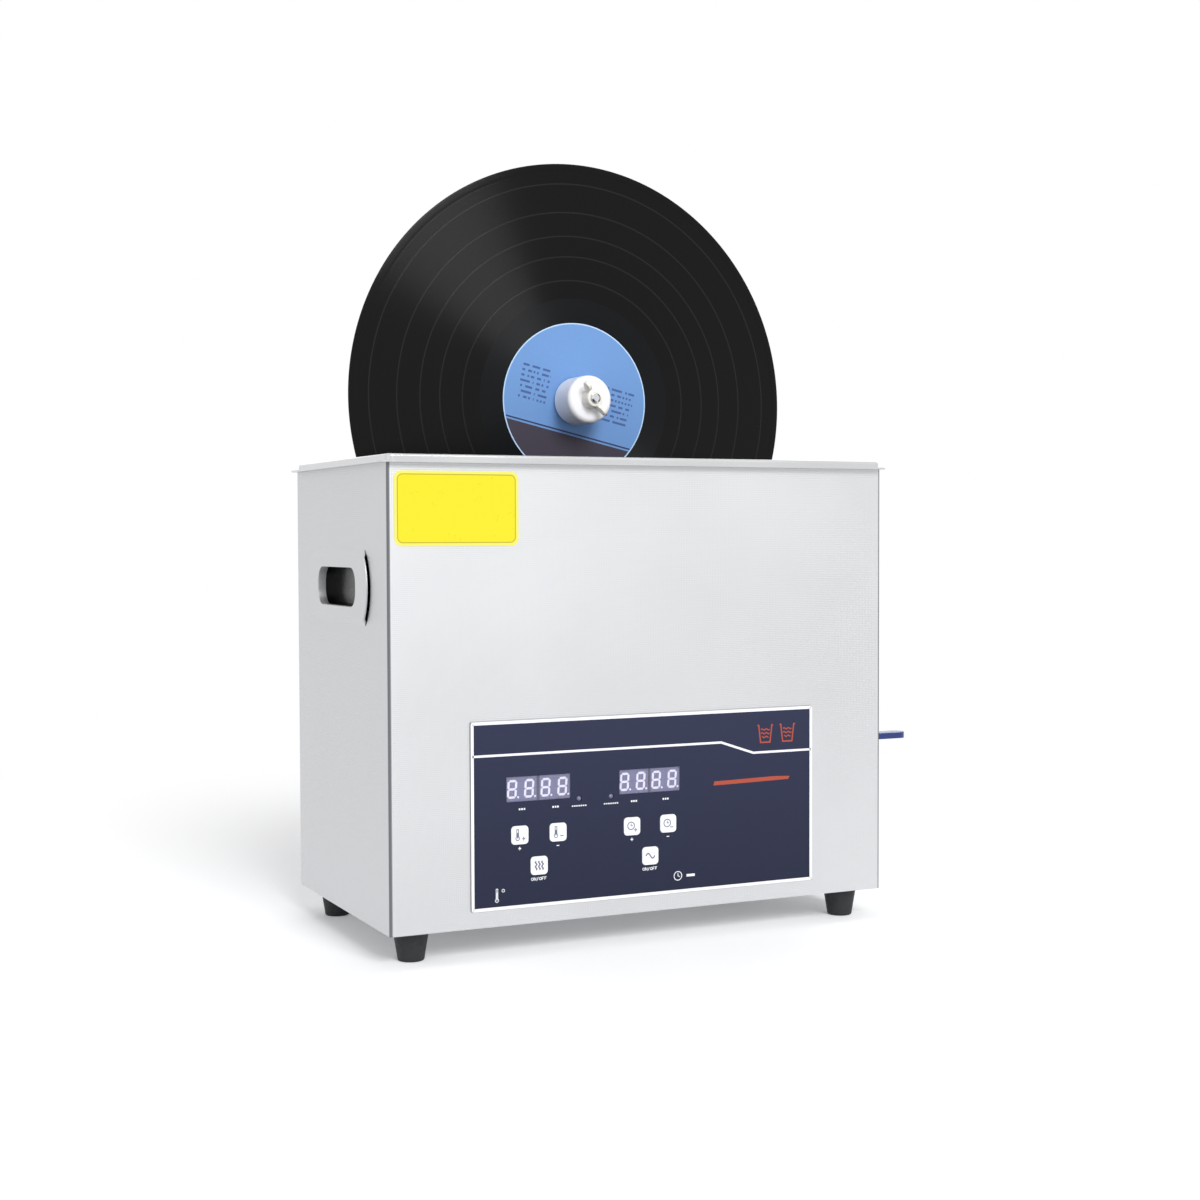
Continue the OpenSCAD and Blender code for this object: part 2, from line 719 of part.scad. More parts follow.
// Generator board on four spacers: toroid, capacitors, relays, choke and fuse
module generator_board() {
    color("darkgreen") {
        translate([0, 0, pcb_z]) linear_extrude(board_t) difference() {
            translate([pcb_x, pcb_y]) square([pcb_w, pcb_d], center = true);
            for (p = pcb_posts) translate(p) screw_hole();
        }
        for (p = pcb_posts) translate([p[0], p[1], bay_z]) ring(3, screw_r + fit_gap, pcb_lift);
        translate([pcb_x - toroid_x, pcb_y - toroid_y, pcb_z + board_t + toroid_r - 0.5]) rotate_extrude()
            translate([toroid_core_r, 0]) circle(toroid_r);
        can(-toroid_x, -toroid_y, toroid_core_r - toroid_r, toroid_r / 2);
        for (x = [-62, -45, -28]) can(x, 24, 7, 26);
        for (x = [25, 47]) block(x, 24.5, 18, 9, 15);
        block(60, -22, 20, 16, 16);
        block(-14, -28, 16, 12, 10);
    }
}

// Finned aluminium heat sink that stands on the generator board
sink_fins = 9;
sink_w = 56;
sink_d = 26;
sink_h = 24;
fin_t = 1.6;
module heat_sink() {
    color("silver") translate([pcb_x - 8, pcb_y - 14, pcb_z + board_t]) {
        cube([sink_w, sink_d, 4]);
        for (i = [0:sink_fins - 1]) translate([i * (sink_w - fin_t) / (sink_fins - 1), 0, 0])
            cube([fin_t, sink_d, sink_h]);
    }
}

// The transducers' levels, from the tank's underside down
horn_x = [-horn_pitch, 0, horn_pitch];
horn_z = tank_under_z - horn_l;
piezo_z = horn_z - 2 * piezo_t;
back_z = piezo_z - back_l;
stud_r = 5;

// Conical aluminium horns bonded under the tank
module transducer_horns() {
    color("silver") for (x = horn_x) translate([x, 0, horn_z]) rotate_extrude() polygon([
            [0, 0], [piezo_d / 2, 0], [piezo_d / 2, 3], [horn_d / 2, horn_l - 7], [horn_d / 2, horn_l],
            [0, horn_l],
        ]);
}

// Two ceramic rings under each horn, with a copper electrode's tab between them
module piezo_rings() {
    color("darkkhaki") for (x = horn_x) translate([x, 0, piezo_z]) {
        for (i = [0, 1]) translate([0, 0, i * piezo_t]) ring(piezo_d / 2, stud_r + run_gap, piezo_t);
        translate([piezo_d / 2 - 4, -3, piezo_t - 0.3]) cube([12, 6, 0.6]);
    }
}

bolt_head_h = 8;
bolt_head_r = 9;
// Steel backs with the bolts that clamp each stack to its horn
module transducer_backs() {
    color("gray") for (x = horn_x) translate([x, 0, back_z]) {
        ring(piezo_d / 2, stud_r + fit_gap, back_l);
        translate([0, 0, -bolt_head_h]) cylinder(r = bolt_head_r, h = bolt_head_h, $fn = 6);
        translate([0, 0, -bolt_head_h]) cylinder(r = stud_r, h = bolt_head_h + back_l + 2 * piezo_t);
    }
}

// Silicone heating pads on the tank's long sides
pad_l = 220;
pad_h = 60;
module heater_pads() {
    color("saddlebrown") for (s = [-1, 1])
        across(s * (tank_w / 2 + tank_t + pad_t / 2) - pad_t / 2, pad_t)
            translate([0, tank_floor_z + tank_floor_r + pad_h / 2]) round_rect(pad_l, pad_h, 4);
}

// A pan-head screw whose head grows up Z, with a cross recess left to its finish
module screw(l) {
    cylinder(r = screw_head_r, h = screw_head_h);
    translate([0, 0, -l]) cylinder(r = screw_r, h = l + fit_gap);
}

// Screws of the back panel, fan, inlet, feet, boards and rod base
module case_screws() {
    color("silver") {
        for (p = back_screws) to_back(p[0], back_y, p[1]) screw(2 * sheet_t + 3);
        for (z = [-1, 1]) to_back(inlet_x, back_y + inlet_flange_t, inlet_z + z * inlet_bolt) screw(6);
        for (x = [-1, 1], z = [-1, 1]) to_back(fan_x + x * fan_bolt, back_y + guard_t, fan_z + z * fan_bolt)
            screw(fan_t + guard_t - 2);
        for (p = foot_spots) translate([p[0], p[1], foot_h - foot_web]) mirror([0, 0, 1]) screw(foot_web + 5);
        for (p = foot_spots) translate([p[0], p[1], bay_z]) ring(3.2, screw_r + fit_gap, 2.4);
        for (p = board_studs) to_back(p[0], board_y + board_t, p[1]) screw(board_t + 4);
        for (p = pcb_posts) translate([p[0], p[1], pcb_z + board_t]) screw(board_t + pcb_lift - fit_gap);
        for (p = base_bolts) to_front(p[0], leg_y, p[1]) screw(bracket_t + 8);
    }
}

// The drain's shared sizes: bore, fitting, hose and the valve's place
bore_r = drain_bore / 2;
fitting_r = bore_r + 3;
tail_r = bore_r + 1.6;
fitting_flange_r = fitting_r + 5;
fitting_flange_t = 2;
fitting_thread_l = 14;
tail_l = 18;
nut_h = 6;
hose_in_r = tail_r + fit_gap;
hose_out_r = hose_in_r + hose_wall;
hose_bend_r = 26;
hose_top_z = tank_under_z - fitting_thread_l;
valve_thread_r = bore_r + 3;
stem_x = side_x + stem_reach;
valve_tail_x = drain_x + hose_bend_r + 1;

// A hexagonal nut that grows up Z
module hex_nut(flats, r_in, h) {
    difference() {
        cylinder(r = flats / 2 / cos(30), h = h, $fn = 6);
        translate([0, 0, -cut]) cylinder(r = r_in, h = h + 2 * cut);
    }
}

// Fitting in the tank's floor, with the nut that clamps it from below
module drain_fitting() {
    color("silver") translate([drain_x, drain_y, 0]) {
        difference() {
            union() {
                translate([0, 0, tank_floor_z])
                    cylinder(r1 = fitting_flange_r, r2 = fitting_flange_r - 1.5, h = fitting_flange_t);
                translate([0, 0, hose_top_z])
                    cylinder(r = fitting_r, h = fitting_thread_l + tank_t + fit_gap);
                translate([0, 0, hose_top_z - tail_l]) cylinder(r = tail_r, h = tail_l + fit_gap);
            }
            translate([0, 0, hose_top_z - tail_l - cut]) cylinder(r = bore_r, h = tank_depth);
        }
        translate([0, 0, tank_under_z - nut_h]) hex_nut(2 * fitting_r + 7, fitting_r + fit_gap, nut_h);
    }
}

// Rubber elbow from the tank's fitting to the valve's tail
module drain_hose() {
    color("dimgray") translate([drain_x, drain_y, 0]) {
        bend_top_z = valve_z + hose_bend_r;
        translate([0, 0, bend_top_z]) ring(hose_out_r, hose_in_r, hose_top_z - bend_top_z);
        translate([hose_bend_r, 0, bend_top_z]) rotate([90, 180, 0]) rotate_extrude(angle = 90)
            translate([hose_bend_r, 0]) difference() {
                circle(hose_out_r);
                circle(hose_in_r);
            }
        translate([hose_bend_r, 0, valve_z]) rotate([0, 90, 0])
            ring(hose_out_r, hose_in_r, side_x - sheet_t - nut_h - drain_x - hose_bend_r - 1);
    }
}

// The ball valve's inner sizes, from its centre outwards
ball_r = ball_d / 2;
cavity_r = ball_r + 0.4;
seat_in_r = bore_r + 0.6;
seat_reach = ball_r + 1;
seat_start = sqrt(ball_r * ball_r - pow(seat_in_r + 1, 2));
joint_face = seat_reach + 5;
boss_r = stem_d / 2 + 4;
boss_top_z = valve_z + chamber_d / 2 + 3.5;
gland_h = 4;
lever_z = boss_top_z + gland_h + run_gap;

valve_hex = 22;
neck_r = valve_thread_r + 1;
gland_r = boss_r + 1.2;
hex_l = 6;
// Valve body: tail and bulkhead nut, hexagon, ball chamber and stem boss
module valve_body() {
    color("lightsteelblue") {
        difference() {
            union() {
                on_valve(valve_tail_x) cylinder(r = tail_r, h = side_x - valve_tail_x);
                on_valve(side_x - sheet_t - nut_h - 0.6)
                    cylinder(r = valve_thread_r, h = sheet_t + nut_h + 1);
                on_valve(side_x) cylinder(r = valve_hex / 2 / cos(30), h = hex_l, $fn = 6);
                on_valve(side_x + hex_l - fit_gap)
                    cylinder(r1 = neck_r, r2 = chamber_d / 2, h = stem_reach - hex_l - seat_reach);
                on_valve(stem_x - seat_reach - 2 * fit_gap)
                    cylinder(r = chamber_d / 2, h = seat_reach + joint_face);
                translate([stem_x, drain_y, valve_z]) cylinder(r = boss_r, h = boss_top_z - valve_z);
                translate([stem_x, drain_y, boss_top_z - fit_gap]) cylinder(r = gland_r, h = gland_h, $fn = 6);
            }
            on_valve(valve_tail_x - cut) cylinder(r = bore_r, h = stem_x - valve_tail_x);
            on_valve(stem_x - seat_reach) cylinder(r = cavity_r, h = seat_reach + joint_face + cut);
            translate([stem_x, drain_y, valve_z]) cylinder(r = stem_d / 2 + slide_gap, h = boss_top_z);
        }
        on_valve(side_x - sheet_t - nut_h) hex_nut(valve_hex, valve_thread_r + fit_gap, nut_h - fit_gap);
    }
}

// Outlet half of the valve, screwed into the body, with its hose nozzle
outlet_plug_x = stem_x + seat_reach;
outlet_hex_l = 7;
nozzle_x = stem_x + joint_face + outlet_hex_l;
barb_l = 4;
barb_drop = 0.7;
module valve_outlet() {
    color("lightsteelblue") difference() {
        union() {
            on_valve(outlet_plug_x) cylinder(r = cavity_r - fit_gap, h = joint_face - seat_reach + 1);
            on_valve(stem_x + joint_face - 2 * fit_gap)
                cylinder(r = chamber_d / 2 - 1, h = outlet_hex_l + 2 * fit_gap, $fn = 6);
            on_valve(nozzle_x - fit_gap) cylinder(r = nozzle_d / 2, h = nozzle_l - 2 * barb_l + fit_gap);
            for (i = [1, 2]) on_valve(nozzle_x + nozzle_l - i * barb_l)
                cylinder(r1 = nozzle_d / 2, r2 = nozzle_d / 2 - barb_drop, h = barb_l);
        }
        on_valve(outlet_plug_x - cut)
            cylinder(r = bore_r, h = nozzle_x + nozzle_l - outlet_plug_x + 2 * cut);
    }
}

// Two plastic seats that the ball turns between
module valve_seats() {
    color("white") for (s = [-1, 1]) translate([stem_x, drain_y, valve_z]) rotate([0, s * 90, 0])
        rotate_extrude() difference() {
            translate([seat_in_r, seat_start])
                square([cavity_r - fit_gap - seat_in_r, seat_reach - seat_start]);
            circle(ball_r + slide_gap);
        }
}

// The ball, bored through, with a slot for the stem's tang
tang_t = 3;
tang_depth = 2.6;
module valve_ball() {
    color("gainsboro") translate([stem_x, drain_y, valve_z]) difference() {
        sphere(ball_r, $fn = 64);
        translate([-ball_r - cut, 0, 0]) rotate([0, 90, 0]) cylinder(r = bore_r, h = 2 * (ball_r + cut));
        translate([-ball_r, -tang_t / 2 - fit_gap, ball_r - tang_depth])
            cube([2 * ball_r, tang_t + 2 * fit_gap, ball_r]);
    }
}

// The stem with its tang below, and the nut that holds the lever on it
module valve_stem() {
    color("silver") translate([stem_x, drain_y, 0]) {
        ball_top_z = valve_z + ball_r;
        stem_top_z = lever_z + lever_t + nut_h / 2 + 2;
        intersection() {
            translate([0, 0, ball_top_z - tang_depth + fit_gap])
                cylinder(r = stem_d / 2, h = stem_top_z - ball_top_z + tang_depth);
            union() {
                translate([-ball_r, -tang_t / 2, valve_z]) cube([2 * ball_r, tang_t, ball_r + 2 * fit_gap]);
                translate([-ball_r, -ball_r, ball_top_z + fit_gap]) cube([2 * ball_r, 2 * ball_r, stem_top_z]);
            }
        }
        translate([0, 0, lever_z + lever_t]) hex_nut(stem_d + 6, stem_d / 2 + fit_gap, nut_h / 2);
    }
}

// Side view of the lever: flat at the stem, then cranked up to its grip
lever_tip_x = stem_x + lever_l;
crank_x = stem_x + 13;
crank_l = 9;
grip_z = valve_z + lever_rise - lever_t / 2;
module lever_side() {
    polygon([
        [stem_x - lever_w / 2 - 2, lever_z], [crank_x, lever_z], [crank_x + crank_l, grip_z],
        [lever_tip_x, grip_z], [lever_tip_x, grip_z + lever_t],
        [crank_x + crank_l - 0.8, grip_z + lever_t], [crank_x - 0.8, lever_z + lever_t],
        [stem_x - lever_w / 2 - 2, lever_z + lever_t],
    ]);
}

// Plan of the lever, with a round eye at the stem and a round tip
module lever_plan(grow) {
    translate([stem_x, drain_y]) circle(lever_w / 2 + 2 + grow);
    translate([stem_x, drain_y - lever_w / 2 - grow]) square([lever_l - lever_w / 2, lever_w + 2 * grow]);
    translate([lever_tip_x - lever_w / 2, drain_y]) circle(lever_w / 2 + grow);
}

// Stamped steel lever of the drain valve
module drain_lever() {
    color("silver") difference() {
        intersection() {
            across(0, drain_y + 2 * lever_w) lever_side();
            linear_extrude(rim_z) lever_plan(0);
        }
        translate([stem_x, drain_y, lever_z - cut]) cylinder(r = stem_d / 2 + fit_gap, h = lever_t + 2 * cut);
    }
}

// Dipped vinyl sleeve on the lever's grip
sleeve_x = crank_x + crank_l + 3;
module lever_sleeve() {
    color("midnightblue") difference() {
        intersection() {
            across(0, drain_y + 2 * lever_w) translate([sleeve_x, grip_z - sleeve_t])
                square([lever_l + sleeve_t, lever_t + 2 * sleeve_t]);
            linear_extrude(rim_z) lever_plan(sleeve_t);
        }
        intersection() {
            across(0, drain_y + 2 * lever_w) translate([sleeve_x - cut, grip_z - fit_gap])
                square([lever_l, lever_t + 2 * fit_gap]);
            linear_extrude(rim_z) lever_plan(fit_gap);
        }
    }
}

// The mains inlet's layout: rocker above, socket in the middle, fuse drawer below
inlet_flange_t = 2.5;
inlet_flange_w = inlet_w + 6;
inlet_flange_h = inlet_h + 18;
inlet_face_y = back_y + inlet_flange_t;
inlet_depth = 20;
socket_w = 24.4;
socket_h = 16.8;
socket_chamfer = 4.5;
socket_depth = 16;
socket_z = inlet_z - 2;
drawer_w = 22;
drawer_h = 8;
drawer_l = 16;
drawer_wall = 1.5;
drawer_z = inlet_z - 21;
rocker_w = 20;
rocker_h = 14;
rocker_z = inlet_z + 19.5;
rocker_depth = 12;
rocker_tilt = 9;
rocker_axis_y = inlet_face_y - 1;
rocker_pin_r = 1.3;

// The D-shaped outline of the socket's recess
module socket_outline() {
    w = socket_w / 2;
    h = socket_h / 2;
    polygon([[-w, -h], [w, -h], [w, h - socket_chamfer], [w - socket_chamfer, h],
        [-w + socket_chamfer, h], [-w, h - socket_chamfer]]);
}

// Moulded mains inlet: flange, socket recess, drawer slot and rocker opening
module power_inlet() {
    color("black") difference() {
        union() {
            across(back_y, inlet_flange_t) translate([inlet_x, inlet_z])
                round_rect(inlet_flange_w, inlet_flange_h, 3);
            across(inlet_face_y - inlet_depth, inlet_depth - fit_gap) translate([inlet_x, inlet_z])
                square([inlet_w, inlet_h], center = true);
        }
        across(inlet_face_y - socket_depth, socket_depth + cut) translate([inlet_x, socket_z])
            socket_outline();
        across(inlet_face_y - drawer_l - 1, drawer_l + 2) translate([inlet_x, drawer_z])
            square([drawer_w + 2 * run_gap, drawer_h + 2 * run_gap], center = true);
        across(inlet_face_y - rocker_depth, rocker_depth + cut) translate([inlet_x, rocker_z])
            square([rocker_w + 2 * run_gap, rocker_h + 4 * run_gap], center = true);
        to_right(inlet_x - rocker_w / 2 - 2, rocker_axis_y, rocker_z)
            cylinder(r = rocker_pin_r + slide_gap, h = rocker_w + 4);
        for (z = [-1, 1]) to_back(inlet_x, back_y - cut, inlet_z + z * inlet_bolt)
            cylinder(r = screw_r + loose_gap, h = inlet_flange_t + 2 * cut);
    }
}

// Three contact blades in the socket, and their solder tags behind
module inlet_blades() {
    color("silver") for (b = [[0, 3], [-7, -2], [7, -2]])
        translate([inlet_x + b[0], inlet_face_y - socket_depth, socket_z + b[1]]) {
            translate([-1, 0, -2]) cube([2, socket_depth - 4, 4]);
            translate([-1, -inlet_depth + socket_depth - 8, -3]) cube([2, 8, 6]);
        }
}

// Fuse drawer with its finger grip, which pulls out of the inlet
module fuse_drawer() {
    color("black") difference() {
        union() {
            across(inlet_face_y - drawer_l, drawer_l) translate([inlet_x, drawer_z])
                square([drawer_w, drawer_h], center = true);
            across(inlet_face_y - fit_gap, drawer_wall) translate([inlet_x, drawer_z])
                square([drawer_w - 4 * drawer_wall, 2.4], center = true);
        }
        translate([inlet_x - drawer_w / 2, inlet_face_y - drawer_l, drawer_z - drawer_h / 2])
            translate([drawer_wall, drawer_wall, drawer_wall])
                cube([drawer_w - 2 * drawer_wall, drawer_l - 3 * drawer_wall, drawer_h]);
    }
}

// Two-faced rocker of the mains switch, pressed in at its lower end, with its pivot pin
module power_rocker() {
    color("black") translate([inlet_x, rocker_axis_y, rocker_z]) rotate([-rocker_tilt, 0, 0]) {
        half = rocker_h / 2;
        translate([-rocker_w / 2, 0, 0]) rotate([90, 0, 90]) linear_extrude(rocker_w)
            polygon([[-6, -half + 2.5], [-1, -half + 0.4], [1.1, -half + 0.4], [2.3, 0], [1.1, half - 0.4],
                [-1, half - 0.4], [-6, half - 2.5]]);
        rotate([0, 90, 0]) cylinder(r = rocker_pin_r, h = rocker_w + 3.6, center = true);
    }
}

// The fan's own layout
fan_front_y = back_in_y - fan_t;
fan_hub_r = 12;
fan_blades = 7;
blade_t = 1.4;
blade_pitch = 52;
guard_t = 1.5;
guard_rings = 4;
fan_axle_r = 1.5;
fan_back_t = 2.5;
fan_spoke_w = 3.5;
rotor_y = fan_front_y + fan_back_t + run_gap;
rotor_h = fan_t - fan_back_t - 2 * run_gap - 1;
rotor_web = 2;

// Square fan frame with its duct, its spokes and the motor cup that they hold
module fan_frame() {
    color("dimgray") {
        across(fan_front_y, fan_t) translate([fan_x, fan_z]) difference() {
            round_rect(fan_size, fan_size, 4);
            circle(fan_hole_r);
            for (x = [-1, 1], z = [-1, 1]) translate([x * fan_bolt, z * fan_bolt]) screw_hole();
        }
        across(fan_front_y, fan_back_t) translate([fan_x, fan_z]) {
            circle(fan_hub_r);
            for (i = [0:3]) rotate(45 + i * 90) translate([fan_hub_r - 1, -fan_spoke_w / 2])
                square([fan_hole_r - fan_hub_r + 2, fan_spoke_w]);
        }
        to_back(fan_x, fan_front_y, fan_z)
            cylinder(r = fan_axle_r, h = rotor_y - fan_front_y + rotor_h - rotor_web - run_gap);
    }
}

// Seven-bladed fan rotor
module fan_rotor() {
    color("black") to_back(fan_x, rotor_y, fan_z) difference() {
        union() {
            cylinder(r = fan_hub_r, h = rotor_h);
            intersection() {
                ring(fan_hole_r - 0.8, fan_hub_r - 1, rotor_h);
                for (i = [0:fan_blades - 1]) rotate(i * 360 / fan_blades)
                    translate([fan_hub_r - 1, 0, rotor_h / 2]) rotate([blade_pitch, 0, 0])
                        translate([0, -rotor_h, -blade_t / 2]) cube([fan_hole_r, 2 * rotor_h, blade_t]);
            }
        }
        translate([0, 0, -cut]) cylinder(r = fan_axle_r + slide_gap, h = rotor_h - rotor_web + cut);
        translate([0, 0, -cut]) ring(fan_hub_r - 1.5, fan_hub_r - 5, rotor_h - 1 + cut);
    }
}

// Stamped guard over the fan, outside the back panel
module fan_guard() {
    color("silver") across(back_y, guard_t) translate([fan_x, fan_z]) {
        for (i = [1:guard_rings]) difference() {
            circle(i * fan_hole_r / guard_rings + 0.9);
            circle(i * fan_hole_r / guard_rings - 0.9);
        }
        circle(4);
        for (a = [45:90:315]) rotate(a) difference() {
            union() {
                translate([3, -0.9]) square([fan_bolt * sqrt(2) - 3, 1.8]);
                translate([fan_bolt * sqrt(2), 0]) circle(screw_head_r + 0.8);
            }
            translate([fan_bolt * sqrt(2), 0]) screw_hole();
        }
    }
}

// The drive's shared places, from the rim upwards
bracket_top_z = rim_z + bracket_t;
lip_y = tank_w / 2 - run_gap - bracket_t;
leg_y = back_y + overhang + run_gap;
leg_back_y = leg_y + bracket_t;
clamp_z = rim_z - clamp_drop;
hook_r = 2;
weld_nut_h = 5;
base_wall = 7;
base_w = 2 * (rod_x + rod_d / 2 + base_wall);
base_d = rod_d + 2 * base_wall + 2;
rod_y = leg_back_y + base_d / 2;
base_z = clamp_z + knob_d / 2 + 5;
spindle_z = rim_z + spindle_h;
carriage_z = spindle_z - carriage_h / 2;
rod_z = base_z + 4;
rod_top_z = rod_z + rod_l;
bush_top_z = rod_top_z - lift_travel;
bush_wall = 3;
rod_bush_r = rod_d / 2 + bush_wall;
well_r = rod_bush_r + 0.6;
rod_boss_r = well_r + 2;
carriage_w = 2 * (rod_x + rod_boss_r + 1);
carriage_y = rod_y - carriage_d / 2;
carriage_corner = 7;
base_bolts = [for (x = [-1, 1], z = [0, 1]) [x * 16, base_z + 12 + z * 16]];
lock_z = (carriage_z + bush_top_z) / 2;
screw_rad = screw_d / 2;

// Bent steel bracket over the rear rim, with a weld nut for each clamp screw
module hook_bracket() {
    color("gainsboro") {
        difference() {
            translate([-bracket_w / 2, 0, 0]) rotate([90, 0, 90]) linear_extrude(bracket_w) difference() {
                union() {
                    translate([lip_y, rim_z - leg_drop])
                        square([leg_back_y - lip_y, leg_drop + bracket_t - hook_r]);
                    translate([lip_y + hook_r, rim_z]) square([leg_back_y - lip_y - 2 * hook_r, bracket_t]);
                    for (y = [lip_y + hook_r, leg_back_y - hook_r]) translate([y, bracket_top_z - hook_r])
                        circle(hook_r);
                }
                translate([lip_y + bracket_t, rim_z - leg_drop - cut])
                    square([leg_y - lip_y - bracket_t, leg_drop + cut]);
                translate([lip_y - cut, rim_z - leg_drop - cut])
                    square([bracket_t + 2 * cut, leg_drop - hook_drop + cut]);
            }
            for (x = [-1, 1]) to_back(x * clamp_x, leg_y - cut, clamp_z)
                cylinder(r = screw_rad + slide_gap, h = bracket_t + 2 * cut);
            across(leg_y - cut, bracket_t + 2 * cut) {
                translate([0, clamp_z]) slot(2 * clamp_x - 30, 14);
                for (p = base_bolts) translate(p) screw_hole();
                for (x = [-1, 1]) translate([x * bracket_w / 2, rim_z - leg_drop]) rotate(45)
                    square(12, center = true);
            }
        }
        for (x = [-1, 1]) to_back(x * clamp_x, leg_back_y - fit_gap, clamp_z)
            ring(screw_rad + 4, screw_rad + slide_gap, weld_nut_h);
    }
}

// A clamp screw with its pressure pad and star knob
module clamp_screw(x) {
    knob_y = leg_back_y + weld_nut_h + 4;
    to_back(x, back_y + run_gap, clamp_z) cylinder(r = screw_rad + 2, h = 1.8);
    to_back(x, back_y + run_gap + 1.8 - fit_gap, clamp_z) cylinder(r = screw_rad, h = knob_y - back_y + 4);
    to_back(x, knob_y, clamp_z) star_knob(10, 6);
    to_back(x, knob_y - 2.5, clamp_z) cylinder(r1 = screw_rad + 2, r2 = screw_rad + 5, h = 2.5 + fit_gap);
}
module clamp_screw_left() { color("black") clamp_screw(-clamp_x); }
module clamp_screw_right() { color("black") clamp_screw(clamp_x); }

// Places a shape on both guide rods' axes
module at_rods(z) {
    for (x = [-1, 1]) translate([x * rod_x, rod_y, z]) children();
}

// Aluminium base block, bolted to the bracket's leg, that holds both guide rods
module rod_base() {
    color("darkgray") difference() {
        translate([0, rod_y, base_z]) linear_extrude(carriage_z - base_z) difference() {
            union() {
                for (x = [-1, 1]) translate([x * rod_x, 0]) circle(base_d / 2);
                square([2 * rod_x, base_d], center = true);
                for (x = [-1, 1]) translate([x * (rod_x + base_w / 2) / 2, -base_d / 4])
                    square([base_w / 2 - rod_x, base_d / 2], center = true);
            }
            translate([0, base_d / 2]) slot(2 * rod_x - rod_d - 2 * base_wall, 12);
        }
        at_rods(rod_z) cylinder(r = rod_d / 2 + fit_gap, h = rod_l);
        for (p = base_bolts) to_back(p[0], leg_back_y - cut, p[1]) cylinder(r = screw_r + fit_gap, h = 10);
    }
}

// Polished steel guide rods
module guide_rods() {
    color("silver") at_rods(rod_z) {
        cylinder(r = rod_d / 2, h = rod_l - 1);
        translate([0, 0, rod_l - 1]) cylinder(r1 = rod_d / 2, r2 = rod_d / 2 - 1, h = 1);
    }
}

// Stop caps on the rods' upper ends, where the bushes end their travel
module rod_caps() {
    color("black") at_rods(rod_top_z) {
        linear_extrude(4) circle(rod_bush_r - 0.6);
        translate([0, 0, 4 - fit_gap]) cylinder(r1 = rod_bush_r - 0.6, r2 = rod_bush_r - 2.2, h = 1.6);
    }
}

spindle_bush_r = 7;
cover_w = 2 * rod_x + 8;
cover_t = 2;
cover_y = carriage_y + carriage_d;
cover_screw_x = cover_w / 2 - 3.8;
cover_screw_z = carriage_h / 2 - 6;
cover_screws = [for (x = [-1, 1], z = [-1, 1]) [x * cover_screw_x, spindle_z + z * cover_screw_z]];
jack_r = 5.5;
// Moulded carriage housing: motor bay and two bored columns that run on the rods
module carriage_housing() {
    color("black") difference() {
        union() {
            difference() {
                translate([0, rod_y, carriage_z]) linear_extrude(carriage_h)
                    round_rect(carriage_w, carriage_d, carriage_corner);
                translate([0, rod_y, carriage_z + carriage_wall])
                    linear_extrude(carriage_h - 2 * carriage_wall) offset(-carriage_wall)
                        round_rect(carriage_w, carriage_d, carriage_corner);
            }
            at_rods(carriage_z + fit_gap) cylinder(r = rod_boss_r, h = carriage_h - 2 * fit_gap);
        }
        at_rods(0) {
            translate([0, 0, carriage_z - cut]) cylinder(r = rod_bush_r + fit_gap, h = carriage_h);
            translate([0, 0, bush_top_z]) cylinder(r = well_r, h = carriage_h);
        }
        on_spindle(carriage_y + carriage_wall + cut)
            cylinder(r = spindle_bush_r + fit_gap, h = carriage_wall + 2 * cut);
        across(carriage_y + carriage_d - carriage_wall - cut, carriage_wall + 2 * cut) {
            translate([0, spindle_z]) round_rect(cover_w - 14, carriage_h - 18, 3);
            for (p = cover_screws) translate(p) circle(screw_r + fit_gap);
        }
        to_right(rod_x, rod_y, lock_z) cylinder(r = screw_rad + slide_gap, h = carriage_w);
    }
}

// Rear cover of the motor bay, with its screws and the drive's low-voltage socket
module housing_cover() {
    color("black") {
        across(cover_y, cover_t) difference() {
            translate([0, spindle_z]) round_rect(cover_w, carriage_h - 4, 4);
            for (p = cover_screws) translate(p) screw_hole();
            translate([0, spindle_z - 12]) circle(jack_r - 1.5);
        }
        to_back(0, cover_y + cover_t - fit_gap, spindle_z - 12) difference() {
            cylinder(r = jack_r, h = 2.5);
            translate([0, 0, -cut]) cylinder(r = jack_r - 1.5, h = 5);
        }
        for (p = cover_screws) to_back(p[0], cover_y + cover_t, p[1]) screw(cover_t + 2.5);
    }
}

motor_shaft_r = 3;
motor_y = carriage_y + carriage_wall;
shaft_seat = 12;
// Plain bearing bushes: two on the rods and one, flanged, round the motor's shaft
module carriage_bushes() {
    color("goldenrod") {
        difference() {
            at_rods(carriage_z + run_gap)
                ring(rod_bush_r, rod_d / 2 + slide_gap, bush_top_z - carriage_z - run_gap);
            to_right(rod_x, rod_y, lock_z) cylinder(r = screw_rad + loose_gap, h = carriage_w);
        }
        on_spindle(carriage_y + carriage_wall)
            ring(spindle_bush_r, motor_shaft_r + slide_gap, carriage_wall + fit_gap);
        on_spindle(carriage_y) ring(spindle_bush_r + 2.5, motor_shaft_r + slide_gap, 1.5);
    }
}

// Gear motor, screwed by its face to the housing's front wall
module gear_motor() {
    color("silver") {
        gearbox_l = motor_l * 0.42;
        end_cap_l = 4;
        difference() {
            union() {
                to_back(0, motor_y, spindle_z) cylinder(r = motor_d / 2, h = gearbox_l);
                to_back(0, motor_y + gearbox_l - fit_gap, spindle_z)
                    cylinder(r = motor_d / 2 - 1.5, h = motor_l - gearbox_l - end_cap_l + 1);
                to_back(0, motor_y + motor_l - end_cap_l, spindle_z) cylinder(r = motor_d / 4, h = end_cap_l);
            }
            to_back(0, motor_y - cut, spindle_z)
                cylinder(r = motor_shaft_r + slide_gap, h = shaft_seat + cut);
        }
    }
}

